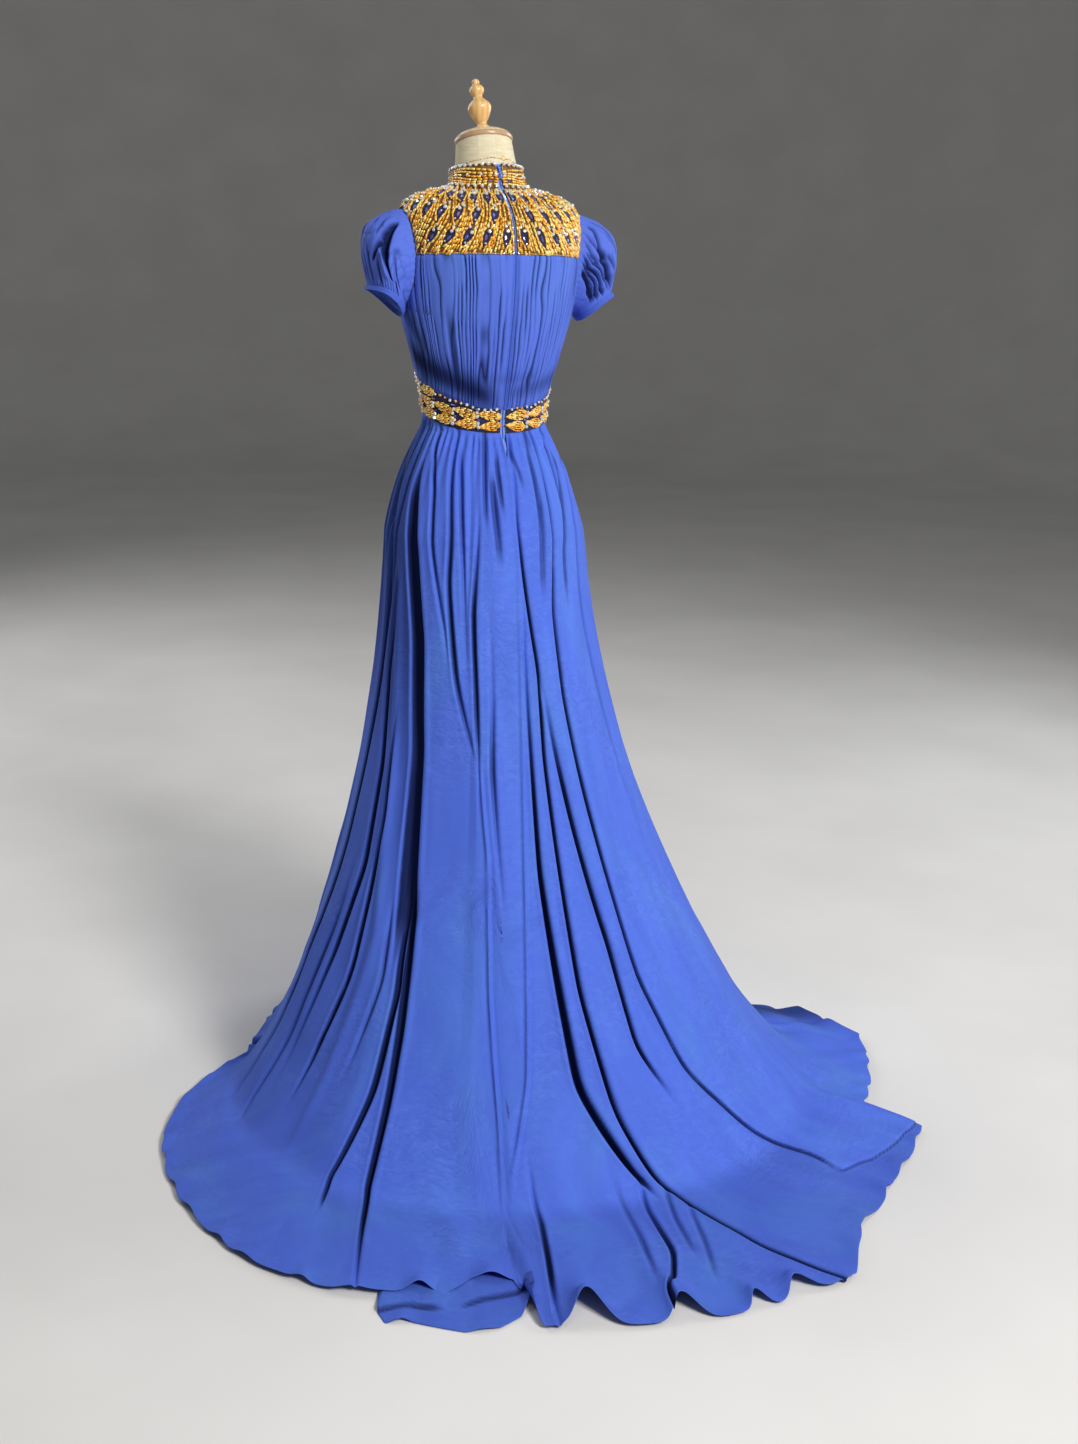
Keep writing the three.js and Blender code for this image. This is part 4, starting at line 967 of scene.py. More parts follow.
def pleat_heights(angle, height, seed=21):
    """How far out the bodice's gathers stand, from 0 in a valley to 1 on a ridge, and how much shade is
    painted in them.
    """
    along = angle / 360 * PLEATS_ROUND
    uneven = 1.25 * smooth_noise(along / 2.1, 0 * height, seed)
    squeezed = step((1.255 - height) / 0.07)
    slow = 0.46 * smooth_noise(along / 3.4, height / 0.085, seed + 1)
    quick = (0.16 + 0.26 * squeezed) * smooth_noise(along / 1.7, height / 0.034, seed + 4)
    place = along + uneven + (slow + quick)
    ridge = np.abs(np.sin(np.pi * place)) ** 0.56
    which = np.floor(place)
    nearest = np.where(place - which < 0.5, which, which + 1)
    valley = np.clip(0.74 + 1.05 * smooth_noise(nearest * 5.3, height / 0.058, seed + 2), 0.06, 1)
    swell = 0.5 + 0.5 * smooth_noise(which * 3.7, height / 0.16, seed + 3)
    return (1 - valley * (1 - ridge)) * (0.72 + 0.28 * swell), valley * np.clip(1 - 1.22 * ridge, 0, 1)


# Wide soft folds of the bodice: where each starts and ends as (angle, height in mm), half height in mm,
# how far in it goes in mm (below 0 it stands out), and how much shade is painted in it.
BODICE_FOLDS = [
    ((100, 1258), (10, 1186), 27, 2.0, 0.92), ((64, 1200), (20, 1168), 9, -2.5, 0.0),
    ((92, 1200), (50, 1170), 11, 1.5, 0.78), ((-4, 1196), (-84, 1226), 15, 1.2, 0.42),
    ((30, 1216), (-30, 1222), 12, 0.8, 0.22), ((92, 1340), (66, 1256), 26, 1.0, 0.55),
    ((-50, 1184), (-84, 1196), 9, -1.6, 0.0), ((130, 1200), (230, 1204), 15, 1.4, 0.35),
    ((112, 1250), (150, 1300), 14, 1.0, 0.25), ((248, 1250), (210, 1300), 14, 1.0, 0.25),
]


def bodice_folds(angle, height):
    """How far in, in mm, the bodice's wide folds go, and how much shade is painted in them."""
    depth, dark = np.zeros(angle.shape), np.zeros(angle.shape)
    for start, end, tall, mm, tone in BODICE_FOLDS:
        share = np.clip(turned(angle - start[0]) / (end[0] - start[0]), -0.2, 1.2)
        middle = (start[1] + (end[1] - start[1]) * share) * MM
        held = step((share + 0.12) / 0.24) * step((1.12 - share) / 0.24)
        near = bell((height - middle) / (tall * MM)) * held
        depth += mm * near
        dark = np.maximum(dark, tone * near)
    return depth, dark


def bodice_panel(which, start, end, columns, rows):
    """A gathered panel between two angles, or between functions of the level."""
    at = lambda side, level: side(level) if callable(side) else np.full(np.shape(level), float(side))
    share = np.linspace(0, 1, rows)
    across = np.linspace(0, 1, columns)
    middle = level_at(band_top(90.0)) * (1 - share) + YOKE_EDGE * share
    angle = at(start, middle)[:, None] * (1 - across) + at(end, middle)[:, None] * across
    foot = level_at(band_top(angle) + SEAM_GAP)
    level = foot * (1 - share[:, None]) + (YOKE_EDGE + 0.004) * share[:, None]
    angle = at(start, level[:, 0])[:, None] * (1 - across) + at(end, level[:, -1])[:, None] * across
    height = body_point(angle, level)[..., 2]
    pleat, valley = pleat_heights(angle, height)
    wide_depth, wide_dark = bodice_folds(angle, height)
    near_end = step(share / 0.04) * step((1 - share) / 0.03)
    off_centre = np.abs(np.radians(turned(angle))) * 0.12
    placket = step((off_centre - 0.0022) / 0.004)
    pleat = pleat * placket + 0.35 * (1 - placket)
    offset = BODICE_EASE + 0.0004 + PLEAT_HIGH * pleat * (0.45 + 0.55 * near_end[:, None])
    offset = offset - MM * wide_depth * near_end[:, None]
    offset = offset - 0.0016 * bell(off_centre / 0.0008)
    points = on_body(angle, level, offset)
    # painted shade in the pleats' valleys and in the wide folds
    deep = 1 - (1 - 0.97 * valley * placket) * (1 - wide_dark)
    # painted highlight on the pleats' ridges, kept off the wide folds' painted shade
    crest_highlight = np.clip(pleat * 1.7 - 0.75, 0, 1) * (1 - wide_dark)
    piece = cloth("bodice_cloth_" + which, points, BODICE_CHIFFON,
                  {"uv": cloth_uv(points), "fold": deep, "crest_highlight": crest_highlight})
    settle(piece, "gown", "chiffon", "bodice_" + which)


def side_edge(side, mark):
    """The side seam, or the armhole's edge where that has cut in."""
    return lambda level: side * (90 - mark * armhole_reach(level))


def far_side_edge(level):
    """The front's edge at the wearer's right, reached round the front."""
    return 360 + side_edge(-1, -1)(level)


bodice_panel("back_left", 0.05, side_edge(1, 1), count(290), count(100))
bodice_panel("back_right", side_edge(-1, 1), -0.05, count(290), count(100))
bodice_panel("front", side_edge(1, -1), far_side_edge, count(400), count(70))

# ------------------------------------------------------------------ sleeves
CUFF = {"y": 0.002, "outward": 0.036, "fore": 0.046, "slope": 36, "arch": 0.010}
SLEEVES = {
    "left": {"side": 1, "cuff_out": 0.177, "cuff_height": 1.341},
    "right": {"side": -1, "cuff_out": 0.190, "cuff_height": 1.337},
}
PUFF = {"out": 0.040, "up": 0.016, "fore": 0.014}
# the cuff's rings, from its seam to inside its edge: how far down, and how far out, in metres
CUFF_RINGS = [
    (-0.0006, 0.0004), (0.0018, 0.0012), (0.003, 0.0015), (0.0045, 0.0013), (0.006, 0.0013),
    (0.0075, 0.0014), (0.0086, 0.0015), (0.0093, 0.0008), (0.0090, 0.0001), (0.0080, 0.0),
]

# The puffs' folds: the path as (share of the way down, turn) pairs, half width in degrees, depth in mm
# (below 0 is a ridge), and where down the sleeve each starts and ends. 90 is the top, and 180 the back.
SLEEVE_FOLDS = {
    "left": [
        ([(0.1, 136), (0.33, 144), (0.55, 155), (0.8, 176)], [(0.12, 4), (0.36, 9), (0.5, 9), (0.7, 3.5)],
         15, 0.08, 0.82),
        ([(0.36, 142), (0.5, 136), (0.72, 125)], 5, 10, 0.34, 0.76),
        ([(0.1, 97), (0.3, 106)], 4.5, 7, 0.06, 0.34),
        ([(0.14, 118), (0.42, 128)], 4, 4, 0.1, 0.44),
        ([(0.2, 172), (0.33, 168), (0.7, 200)], 6, 3, 0.18, 0.75),
        ([(0.5, 148), (0.85, 160)], 5, -5, 0.5, 0.9), ([(0.55, 112), (1.0, 116)], 3, 5, 0.55, 1.0),
        ([(0.6, 138), (1.0, 142)], 3, 6, 0.62, 1.0), ([(0.6, 100), (1.0, 100)], 3, 4, 0.6, 1.0),
        ([(0.6, 186), (1.0, 192)], 3, 5, 0.66, 1.0), ([(0, 80), (1, 84)], 8, 5, 0.1, 1.0),
        ([(0, 58), (1, 52)], 10, 6, 0.1, 1.0), ([(0, 35), (1, 22)], 10, 5, 0.1, 1.0),
        ([(0, 205), (1, 236)], 5, 4, 0.4, 1.0),
    ],
    "right": [
        ([(0.05, 135), (0.12, 140), (0.24, 164), (0.5, 165)], 6, 9, 0.03, 0.46),
        ([(0.25, 171), (0.65, 171), (1.0, 145)], 5.5, 10, 0.24, 1.0),
        ([(0.04, 176), (0.2, 189), (0.75, 189), (0.95, 179)], 3.6, 10, 0.02, 0.98),
        ([(0.04, 184), (0.25, 196), (0.5, 199), (0.9, 198)], 3.6, 9, 0.02, 0.95),
        ([(0.06, 194), (0.4, 213), (1.0, 208)], 7.5, 11, 0.04, 0.9),
        ([(0.02, 147), (0.12, 158), (0.27, 169)], 3, 6, 0.0, 0.28),
        ([(0.03, 158), (0.15, 173), (0.32, 180)], 3, 6, 0.0, 0.36),
        ([(0.05, 170), (0.2, 181), (0.6, 181), (0.9, 167)], 2.6, 7, 0.04, 0.94),
        ([(0.3, 160), (0.5, 157), (1.0, 136)], 3.5, 6, 0.35, 1.0),
        ([(0, 118), (0.5, 128), (1, 112)], 5, 5, 0.05, 1.0), ([(0, 100), (1, 88)], 7, 5, 0.1, 1.0),
        ([(0, 80), (1, 62)], 9, 5, 0.1, 1.0), ([(0, 52), (1, 34)], 10, 6, 0.1, 1.0),
        ([(0, 30), (1, 14)], 10, 5, 0.1, 1.0),
    ],
}


def cuff_point(sizes, turn, drop, grow):
    across, along = np.sin(np.radians(turn)), np.cos(np.radians(turn))
    tilt, lean = math.cos(math.radians(CUFF["slope"])), math.sin(math.radians(CUFF["slope"]))
    out = sizes["cuff_out"] + (CUFF["outward"] + grow) * across * tilt + drop * lean
    fore = CUFF["y"] - (CUFF["fore"] + grow) * along
    up = sizes["cuff_height"] + (CUFF["outward"] + grow) * across * lean
    up = up + CUFF["arch"] * along**2 - drop * tilt
    return np.stack(np.broadcast_arrays(out, fore, up), -1)


def armhole_point(turn, offset):
    across, along = np.sin(np.radians(turn)), np.cos(np.radians(turn))
    shrink = 0.985
    reach = np.where(across > 0, ARMHOLE["upward"], ARMHOLE["downward"])
    level = ARMHOLE["level"] + shrink * across * reach
    return on_body(90 + ARMHOLE["reach"] * shrink * along, level, offset)


def sleeve_surface(sizes, folds, turn, down, seed):
    turn, down = np.broadcast_arrays(turn, down)
    across, along = np.sin(np.radians(turn)), np.cos(np.radians(turn))
    seam = armhole_point(turn, np.full(turn.shape, BODICE_EASE + 0.0008))
    hem = cuff_point(sizes, turn, 0, 0)
    swell = np.sin(np.pi * down**0.8) * (0.55 + 0.45 * across)
    outward = unit(np.stack([0.35 + 0.65 * np.abs(across), -along, across], -1))
    lift = np.zeros(turn.shape)
    # painted shade down in the folds and in the crumples' creases
    deep = np.zeros(turn.shape)
    for path, wide, depth, first, last in folds:
        half = keyed(wide)(down) if isinstance(wide, list) else wide * (0.6 + 0.5 * down)
        near = bell(np.abs(turned(turn - keyed(path)(down)) / half) ** 1.4)
        grown = step((down - first) / 0.12) * step((last - down) / 0.12)
        lift -= depth * near * grown
        deep = np.maximum(deep, np.clip(depth, 0, None) * near * grown)
    free = np.sin(np.pi * np.clip(down, 0, 1))
    lift += 2.4 * smooth_noise(turn / 17, down * 3.2, seed) * free
    crumple = np.abs(smooth_noise(turn / 11 + 1.5 * down, down * 5.5, seed + 3))
    lift += 3.0 * (np.sqrt(crumple**2 + 0.01) - 0.28) * free
    deep = np.maximum(deep, 2.6 * bell(crumple / 0.16) * free)
    gather = np.cos(np.radians(turn) * 44 + 2.4 * smooth_noise(turn / 30, down * 2, seed + 1))
    near_seams = np.exp(-(1 - down) / 0.10) + 0.8 * np.exp(-down / 0.10)
    lift += 1.5 * gather * near_seams * step(down / 0.03) * step((1 - down) / 0.02)
    move = np.stack([PUFF["out"] * swell, -PUFF["fore"] * swell * along, PUFF["up"] * swell], -1)
    point = seam + (hem - seam) * down[..., None] + move + outward * (lift * MM)[..., None]
    return point, np.clip(deep / 7.5, 0, 1) ** 1.2


def build_sleeve(which):
    sizes, folds = SLEEVES[which], SLEEVE_FOLDS[which]
    columns, rows = count(190), count(80)
    turn = np.linspace(0, 360, columns, endpoint=False)
    points, deep = sleeve_surface(sizes, folds, turn, np.linspace(0, 1, rows)[:, None], 40 + sizes["side"])
    points[..., 0] *= sizes["side"]
    # painted shade down in the folds, and a painted highlight away from them
    sleeve = cloth("sleeve_cloth_" + which, points, BODICE_CHIFFON,
                   {"uv": cloth_uv(points), "fold": 0.94 * deep,
                    "crest_highlight": 0.7 * np.clip(1 - 2.5 * deep, 0, 1)}, closed=True, flip=sizes["side"] > 0)
    settle(sleeve, "gown", "chiffon", "sleeve_" + which)
    ripple = 0.0004 * np.sin(np.radians(turn) * 60)
    band = np.stack([cuff_point(sizes, turn, drop, grow + ripple * (0.0015 < drop))
                     for drop, grow in CUFF_RINGS])
    band[..., 0] *= sizes["side"]
    cuff = cloth("cuff_band_" + which, band, BODICE_CHIFFON,
                 {"uv": cloth_uv(band), "fold": np.zeros(band.shape[:2])}, closed=True,
                 flip=sizes["side"] > 0)
    settle(cuff, "gown", "chiffon", "cuff_" + which)


for which in SLEEVES:
    build_sleeve(which)

# ------------------------------------------------------------------ grounds under the beadwork
# mm from the centre back to the cloth's edge
PLACKET = {"collar": 4.0, "yoke": 2.5, "band": 5.0}
HALF_SEAM_GAP = 0.15  # mm on each side of a seam
# metres: how far the cloth lies from the form, and how far its edges go back in
GROUND_OFFSET = BODICE_EASE + 0.0011
TURNED_IN = 0.0011


def as_angle(millimetres, level):
    return np.degrees(millimetres * MM / body_point(90.0, level)[..., 0])


def ground_panel(name, levels, start, end, columns, node):
    """Plain cloth over the body between two edges, with its edges turned in."""
    share = np.linspace(0, 1, columns)
    angle = start(levels)[:, None] * (1 - share) + end(levels)[:, None] * share
    level = np.repeat(levels[:, None], columns, 1)
    depth = np.full(angle.shape, GROUND_OFFSET)
    depth[:, 0] -= TURNED_IN
    depth[:, -1] -= TURNED_IN
    depth[0] -= TURNED_IN
    depth[-1] -= TURNED_IN
    points = on_body(angle, level, depth)
    piece = cloth(name, points, GOLD_GROUND, {"uv": cloth_uv(points), "fold": np.zeros(angle.shape)},
                  flip=start(levels)[0] > end(levels)[0])
    settle(piece, "gown", "beadwork", node)


def placket_edge(side, part):
    return lambda level: side * as_angle(PLACKET[part], level)


def yoke_and_collar_grounds():
    yoke = np.linspace(YOKE_EDGE + 0.008, NECK_BASE - 0.03, 60)
    collar = np.linspace(NECK_BASE + 0.03, COLLAR_TOP, 24)
    for which, side in (("left", 1), ("right", -1)):
        ground_panel("yoke_ground_back_" + which, yoke, placket_edge(side, "yoke"), side_edge(side, 1), 48,
                     "yoke_back_" + which)
        ground_panel("collar_ground_" + which, collar, placket_edge(side, "collar"),
                     lambda level, s=side: s * (180 - as_angle(HALF_SEAM_GAP, level)), 60,
                     "collar_" + which)
    ground_panel("yoke_ground_front", yoke, side_edge(1, -1), far_side_edge, 90, "yoke_front")


yoke_and_collar_grounds()
BAND_OFFSET = BODICE_EASE + 0.0006
BAND_SIDE = 84
BAND_ROWS = 12


def band_ground(which, start, end, columns):
    share_up = np.linspace(0, 1, BAND_ROWS)[:, None]
    angle = np.linspace(start, end, columns)[None, :] * np.ones((BAND_ROWS, 1))
    height = band_bottom(angle) * (1 - share_up) + band_top(angle) * share_up
    offset = np.full(angle.shape, BAND_OFFSET + 0.0016)
    offset[0] -= 0.0012
    offset[-1] -= 0.0012
    points = on_body(angle, level_at(height), offset)
    points[..., 2] = height
    piece = cloth("band_ground_" + which, points, GROUND,
                  {"uv": cloth_uv(points), "fold": np.zeros(angle.shape)}, flip=start > end)
    settle(piece, "gown", "beadwork", "waistband_" + which)


BAND_GAP = float(as_angle(HALF_SEAM_GAP, WAIST))
BAND_PLACKET = float(as_angle(PLACKET["band"], WAIST))
band_ground("back_left", BAND_PLACKET, BAND_SIDE - BAND_GAP, 60)
band_ground("back_right", -BAND_PLACKET, BAND_GAP - BAND_SIDE, 60)
band_ground("front", BAND_SIDE + BAND_GAP, 360 - BAND_SIDE - BAND_GAP, 120)


# ------------------------------------------------------------------ beads
def turned_template(profile, sides):
    """Triangles of a small turned solid that lies along z, from (radius, place) pairs."""
    angles = np.arange(sides) * 2 * np.pi / sides
    points, rings = [], []
    for radius, place in profile:
        if radius == 0:
            rings.append([len(points)] * sides)
            points.append((0, 0, place))
        else:
            rings.append(list(range(len(points), len(points) + sides)))
            points += [(radius * math.cos(a), radius * math.sin(a), place) for a in angles]
    faces = []
    for low, high in zip(rings, rings[1:]):
        for k in range(sides):
            n = (k + 1) % sides
            if low[k] != low[n]:
                faces.append((low[k], low[n], high[n]))
            if high[k] != high[n]:
                faces.append((low[k], high[n], high[k]))
    return np.array(points, float), np.array(faces)


def cut_stone_template(outline):
    """A faceted stone that lies flat: an outline at its girdle, a smaller table, and y as its height."""
    count_round = len(outline)
    rings = [(0.86, 0.0), (1.0, 0.30), (0.56, 0.72)]
    points = [(x * share, height, z * share) for share, height in rings for x, z in outline]
    points.append((0, 0.76, 0))
    faces = []
    for ring in range(2):
        for k in range(count_round):
            n = (k + 1) % count_round
            a, b = ring * count_round + k, ring * count_round + n
            faces += [(a, b + count_round, b), (a, a + count_round, b + count_round)]
    top = 2 * count_round
    for k in range(count_round):
        faces.append((top + k, len(points) - 1, top + (k + 1) % count_round))
    return np.array(points, float), np.array(faces)


BUGLE = turned_template([(0, -0.5), (0.5, -0.44), (0.5, 0.44), (0, 0.5)], 6)
SEED = turned_template([(0, -0.42), (0.44, -0.26), (0.44, 0.26), (0, 0.42)], 6)
ROUND_STONE = cut_stone_template([(0.5 * math.cos(a), 0.5 * math.sin(a))
                                  for a in np.arange(8) * math.pi / 4])
GAP = cut_stone_template([(0, 0.5), (-0.2, 0.26), (-0.4, -0.04), (-0.5, -0.26), (-0.36, -0.43), (0, -0.5),
                          (0.36, -0.43), (0.5, -0.26), (0.4, -0.04), (0.2, 0.26)])
MARQUISE = cut_stone_template([(0.5 * (1 - s * s) * side, 0.5 * s) for side, places in
                               ((1, (-1, -0.6, 0, 0.6)), (-1, (1, 0.6, 0, -0.6))) for s in places])
TOOTH = turned_template([(0, -0.5), (0.7, -0.5), (0.7, 0.3), (0.5, 0.5), (0, 0.5)], 4)


class Beadwork:
    """Beads sewn on one part of the gown, kept as lists until they are made into one mesh a kind."""

    KINDS = {
        "bugles": (BUGLE, GOLD, True), "seeds": (SEED, GOLD, True),
        "crystals": (ROUND_STONE, CRYSTAL, False), "marquises": (MARQUISE, GEM, False),
        "gaps": (GAP, GROUND, False),
        "teeth": (TOOTH, ZIP_ENAMEL, False),
    }

    def __init__(self, name, seed):
        self.name = name
        self.random = np.random.default_rng(seed)
        self.rows = {kind: [] for kind in self.KINDS}

    def add(self, kind, angle, level, heading=0.0, long=7.0, wide=2.1, high=None, lift=7.2, tint=None):
        """Sizes in mm; heading in degrees from straight down towards growing angles; lift is the
        distance of the bead's middle, or a stone's foot, from the form."""
        tint = self.random.uniform(0, 1) if tint is None else tint
        self.rows[kind].append((angle, level, heading, long, wide, high or wide, lift, tint))

    def crystal(self, angle, level, size, high, lift):
        """A round stone, turned at random."""
        self.add("crystals", angle, level, self.random.uniform(0, 90), long=size, wide=size, high=high,
                 lift=lift)

    def build(self, slot="beadwork"):
        made = []
        for kind, rows in self.rows.items():
            if not rows:
                continue
            (points, faces), material, smooth = self.KINDS[kind]
            table = np.array(rows, float)
            angle, level, heading, long, wide, high, lift, tint = table.T
            around, upward, outward = body_frame(angle, level)
            turn = np.radians(heading)[:, None]
            along = -np.cos(turn) * upward + np.sin(turn) * around
            side = np.cross(outward, along)
            place = body_point(angle, level) + outward * (lift * MM)[:, None]
            where = (place[:, None] + points[None, :, 0:1] * side[:, None] * (wide * MM)[:, None, None]
                     + points[None, :, 1:2] * outward[:, None] * (high * MM)[:, None, None]
                     + points[None, :, 2:3] * along[:, None] * (long * MM)[:, None, None])
            shift = (np.arange(len(rows)) * len(points))[:, None, None]
            corners = (faces[None] + shift).reshape(-1, 3)
            piece = mesh_object(self.name + "_" + kind, where.reshape(-1, 3), corners, material, smooth,
                                {"tint": np.repeat(tint, len(points))})
            made.append(settle(piece, "gown", slot))
        return made


YOKE_LIFT = GROUND_OFFSET / MM + 1.1
YOKE_TOP, YOKE_FOOT = NECK_BASE - 0.05, YOKE_EDGE + 0.02
STRAND = 4.3
LENS = {"rows": (0.23, 0.54, 0.82), "pitch": 12.0, "long": 17.0, "wide": 6.6}
MERIDIAN_LEVELS = np.linspace(YOKE_TOP, YOKE_FOOT, 80)


def along_meridian(angle):
    """Distances down a line of the yoke, in metres, at each of the meridian's levels."""
    return gone_along(body_point(angle, MERIDIAN_LEVELS))


MIDDLE_LINE = along_meridian(0.0)
LENGTH_TABLE = [along_meridian(a)[-1] for a in range(0, 361, 3)]


def yoke_level(share):
    """The level a share of the way down the yoke at the centre back."""
    return np.interp(share, MIDDLE_LINE / MIDDLE_LINE[-1], MERIDIAN_LEVELS)


def yoke_length(angle):
    return np.interp(np.mod(angle, 360), range(0, 361, 3), LENGTH_TABLE)


def ring_radius(angle, level):
    """Metres for each radian round the body."""
    across = body_point(angle + 1, level) - body_point(angle - 1, level)
    return np.linalg.norm(across, axis=-1) / np.radians(2)


def on_yoke(angle, level, margin):
    """Whether a place is on the yoke, at least margin mm clear of its placket and armholes."""
    at = turned(angle)
    from_zip = np.abs(np.sin(np.radians(at))) * ring_radius(0, level) / MM
    spare = np.abs(90 - np.abs(at)) - armhole_reach(level)
    beside = spare * np.radians(1) * ring_radius(at, level) / MM > margin
    above = np.asarray(level) > ARMHOLE["level"] + ARMHOLE["upward"] + 0.12
    return ((np.abs(at) > 90) | (from_zip > PLACKET["yoke"] + margin)) & (above | beside)


def strand_lean(angle, level):
    """How far the strands turn from straight down the body, in degrees towards growing angles: seen
    from the back or the front they fan out from the neck."""
    around, upward, _ = body_frame(angle, level)
    x = body_point(angle, level)[..., 0]
    lean = np.radians(34) * (1 - np.exp(-np.abs(x) / 0.040)) * np.sign(x)
    sine, fall = np.sin(lean), -np.cos(lean)
    turn = np.arctan((upward[..., 0] * fall - upward[..., 2] * sine)
                     / (around[..., 0] * fall - around[..., 2] * sine + 1e-9))
    return np.degrees(turn) * np.clip(1.7 * np.abs(np.cos(np.radians(angle))) - 0.2, 0, 1)


def lens_centres():
    made = []
    for row, share in enumerate(LENS["rows"]):
        shift = LENS["pitch"] * (0.5 if row % 2 == 0 else 1.0)
        for k in range(30):
            centre = shift + LENS["pitch"] * k
            if on_yoke(centre, float(yoke_level(share)), LENS["wide"] + 1.5):
                made.append((centre, share))
    return np.array(made)


LENSES = lens_centres()


def lens_half(t):
    """Half the width of a gap in mm, at t from -1 at its pointed foot to 1 at its round head."""
    t = np.clip(t, -1, 1)
    return LENS["wide"] * (1 + t) ** 1.1 * (1 - t) ** 0.45 / 1.15


def in_lens(angle, share, margin=0.5):
    inside = np.zeros(np.shape(angle), bool)
    for centre, middle in LENSES:
        level = yoke_level(middle)
        x = np.radians(turned(angle - centre)) * ring_radius(centre, level) / MM
        y = (middle - share) * yoke_length(centre) / MM
        lean = np.radians(strand_lean(centre, level))
        t = (y * np.cos(lean) - x * np.sin(lean)) / LENS["long"]
        across = np.abs(x * np.cos(lean) + y * np.sin(lean))
        inside |= (np.abs(t) < 1) & (across < lens_half(t) + margin)
    return inside


def yoke_beads(work, first, last):
    """Gold bugles in strands that fan out from the neck, with stones in pointed gaps between them."""
    random = work.random
    rows = 15
    spacing = np.degrees(STRAND * MM / ring_radius((first + last) / 2, YOKE_TOP))
    strands = np.arange(first, last, spacing)
    phase = random.uniform(0, 1, strands.size)
    for row in range(rows + 1):
        share = (row + phase - 0.5) / rows
        level = yoke_level(share)
        lean = strand_lean(strands, level)
        shown = (share > 0.012) & (share < 0.985) & on_yoke(strands, level, 1.3) & ~in_lens(strands, share)
        each = yoke_length(strands) / MM / rows / np.cos(np.radians(lean))
        for at, here, turn, long in zip(strands[shown], level[shown], lean[shown], each[shown]):
            work.add("bugles", at, here, turn + random.normal(0, 4), long=long * random.uniform(0.88, 1.02),
                     wide=3.7, lift=YOKE_LIFT + random.uniform(0.2, 0.9))
        radius = ring_radius(strands, level)
        strands = strands + np.degrees(np.tan(np.radians(lean)) * yoke_length(strands) / rows / radius)
        gaps = np.radians(np.diff(strands)) * (radius[1:] + radius[:-1]) / 2 / MM
        keep = np.concatenate([[True], gaps > 0.66 * STRAND])
        extra = np.nonzero(gaps > 1.55 * STRAND)[0]
        between = (strands[extra] + strands[extra + 1]) / 2
        edges = [a for a, b in ((first, strands[0]), (last, strands[-1]))
                 if abs(b - a) * radius[0] * np.radians(1) > 0.9 * STRAND * MM]
        added = np.concatenate([between, edges])
        strands = np.concatenate([strands[keep], added])
        phase = np.concatenate([phase[keep], random.uniform(0, 1, added.size)])
        order = np.argsort(strands)
        strands, phase = strands[order], phase[order]
    for centre, share in LENSES:
        at = float(centre if first < centre < last else turned(centre))
        level = float(yoke_level(share))
        if not first < at < last:
            continue
        lens_stones(work, at, share, level)


def lens_stones(work, at, share, level):
    """Bugles down the sides of a gap, a blue stone in it, and crystals at its head and foot."""
    random = work.random
    radius, length = ring_radius(at, level) / MM, float(yoke_length(at)) / MM
    lean = float(strand_lean(at, level))
    sine, cosine = math.sin(math.radians(lean)), math.cos(math.radians(lean))

    def put(kind, t, across, turn, **size):
        up = t * LENS["long"]
        x, y = across * cosine - up * sine, across * sine + up * cosine
        here = float(yoke_level(share - y / length))
        angle = at + math.degrees(x / radius)
        if on_yoke(angle, here, 2.2) and share - y / length < 0.985:
            work.add(kind, angle, here, lean + turn, **size)

    for side in (-1, 1):
        for t in (-0.72, -0.22, 0.28, 0.72):
            slope = float(lens_half(t + 0.1) - lens_half(t - 0.1)) / (0.2 * LENS["long"])
            put("bugles", t, side * (float(lens_half(t)) + 1.5), -side * math.degrees(math.atan(slope)),
                long=8.4, wide=3.3, lift=YOKE_LIFT + 1.4)
    put("gaps", 0.0, 0, 0, long=2 * LENS["long"] + 2, wide=2 * LENS["wide"] + 2.4, high=0.6,
        lift=YOKE_LIFT - 0.9)
    side = random.choice([-1, 1])
    size = random.uniform(6.0, 7.4)
    put("crystals", 0.74, -side * random.uniform(0, 2.4), random.uniform(0, 90), long=size, wide=size,
        high=0.85 * size, lift=YOKE_LIFT)
    put("crystals", 1.10, side * random.uniform(2.6, 5), random.uniform(0, 90), long=5.6, wide=5.6, high=4.8,
        lift=YOKE_LIFT + 0.8)
    put("crystals", 1.38, -side * random.uniform(1, 5), random.uniform(0, 90), long=4.8, wide=4.8, high=4.0,
        lift=YOKE_LIFT + 0.8)
    put("marquises", 0.10, side * 1.2, random.normal(0, 7), long=11.5, wide=5.2, high=3.2,
        lift=YOKE_LIFT - 0.5)
    if random.uniform() < 0.7:
        put("crystals", -0.42, -side * 1.2, random.uniform(0, 90), long=3.6, wide=3.6, high=3.0,
            lift=YOKE_LIFT - 0.3)


def shoulder_stones(work, sides, lines):
    """Crystals that stand proud along the shoulders."""
    for side in sides:
        for aside in lines:
            for share in np.arange(0.03, 0.62, 0.125) + 0.03 * (aside % 3):
                angle, level = side * (90 + aside), float(yoke_level(share))
                if on_yoke(angle, level, 2.5):
                    size = work.random.uniform(5.6, 6.6)
                    work.crystal(angle, level, size, 0.9 * size, YOKE_LIFT + 1.0)


def seed_line(work, angles, levels, step_mm=2.1, size=1.9, lift=YOKE_LIFT, every=0):
    """Seed beads along a line over the body, with a small crystal after every few of them."""
    gone = gone_along(body_point(angles, levels)) / MM
    for n, place in enumerate(np.arange(step_mm / 2, gone[-1], step_mm)):
        angle, level = float(np.interp(place, gone, angles)), float(np.interp(place, gone, levels))
        if every and n % every == 0:
            work.crystal(angle, level, 2.9, 2.4, lift - 0.4)
        else:
            work.add("seeds", angle, level, 0, long=size, wide=size, lift=lift)


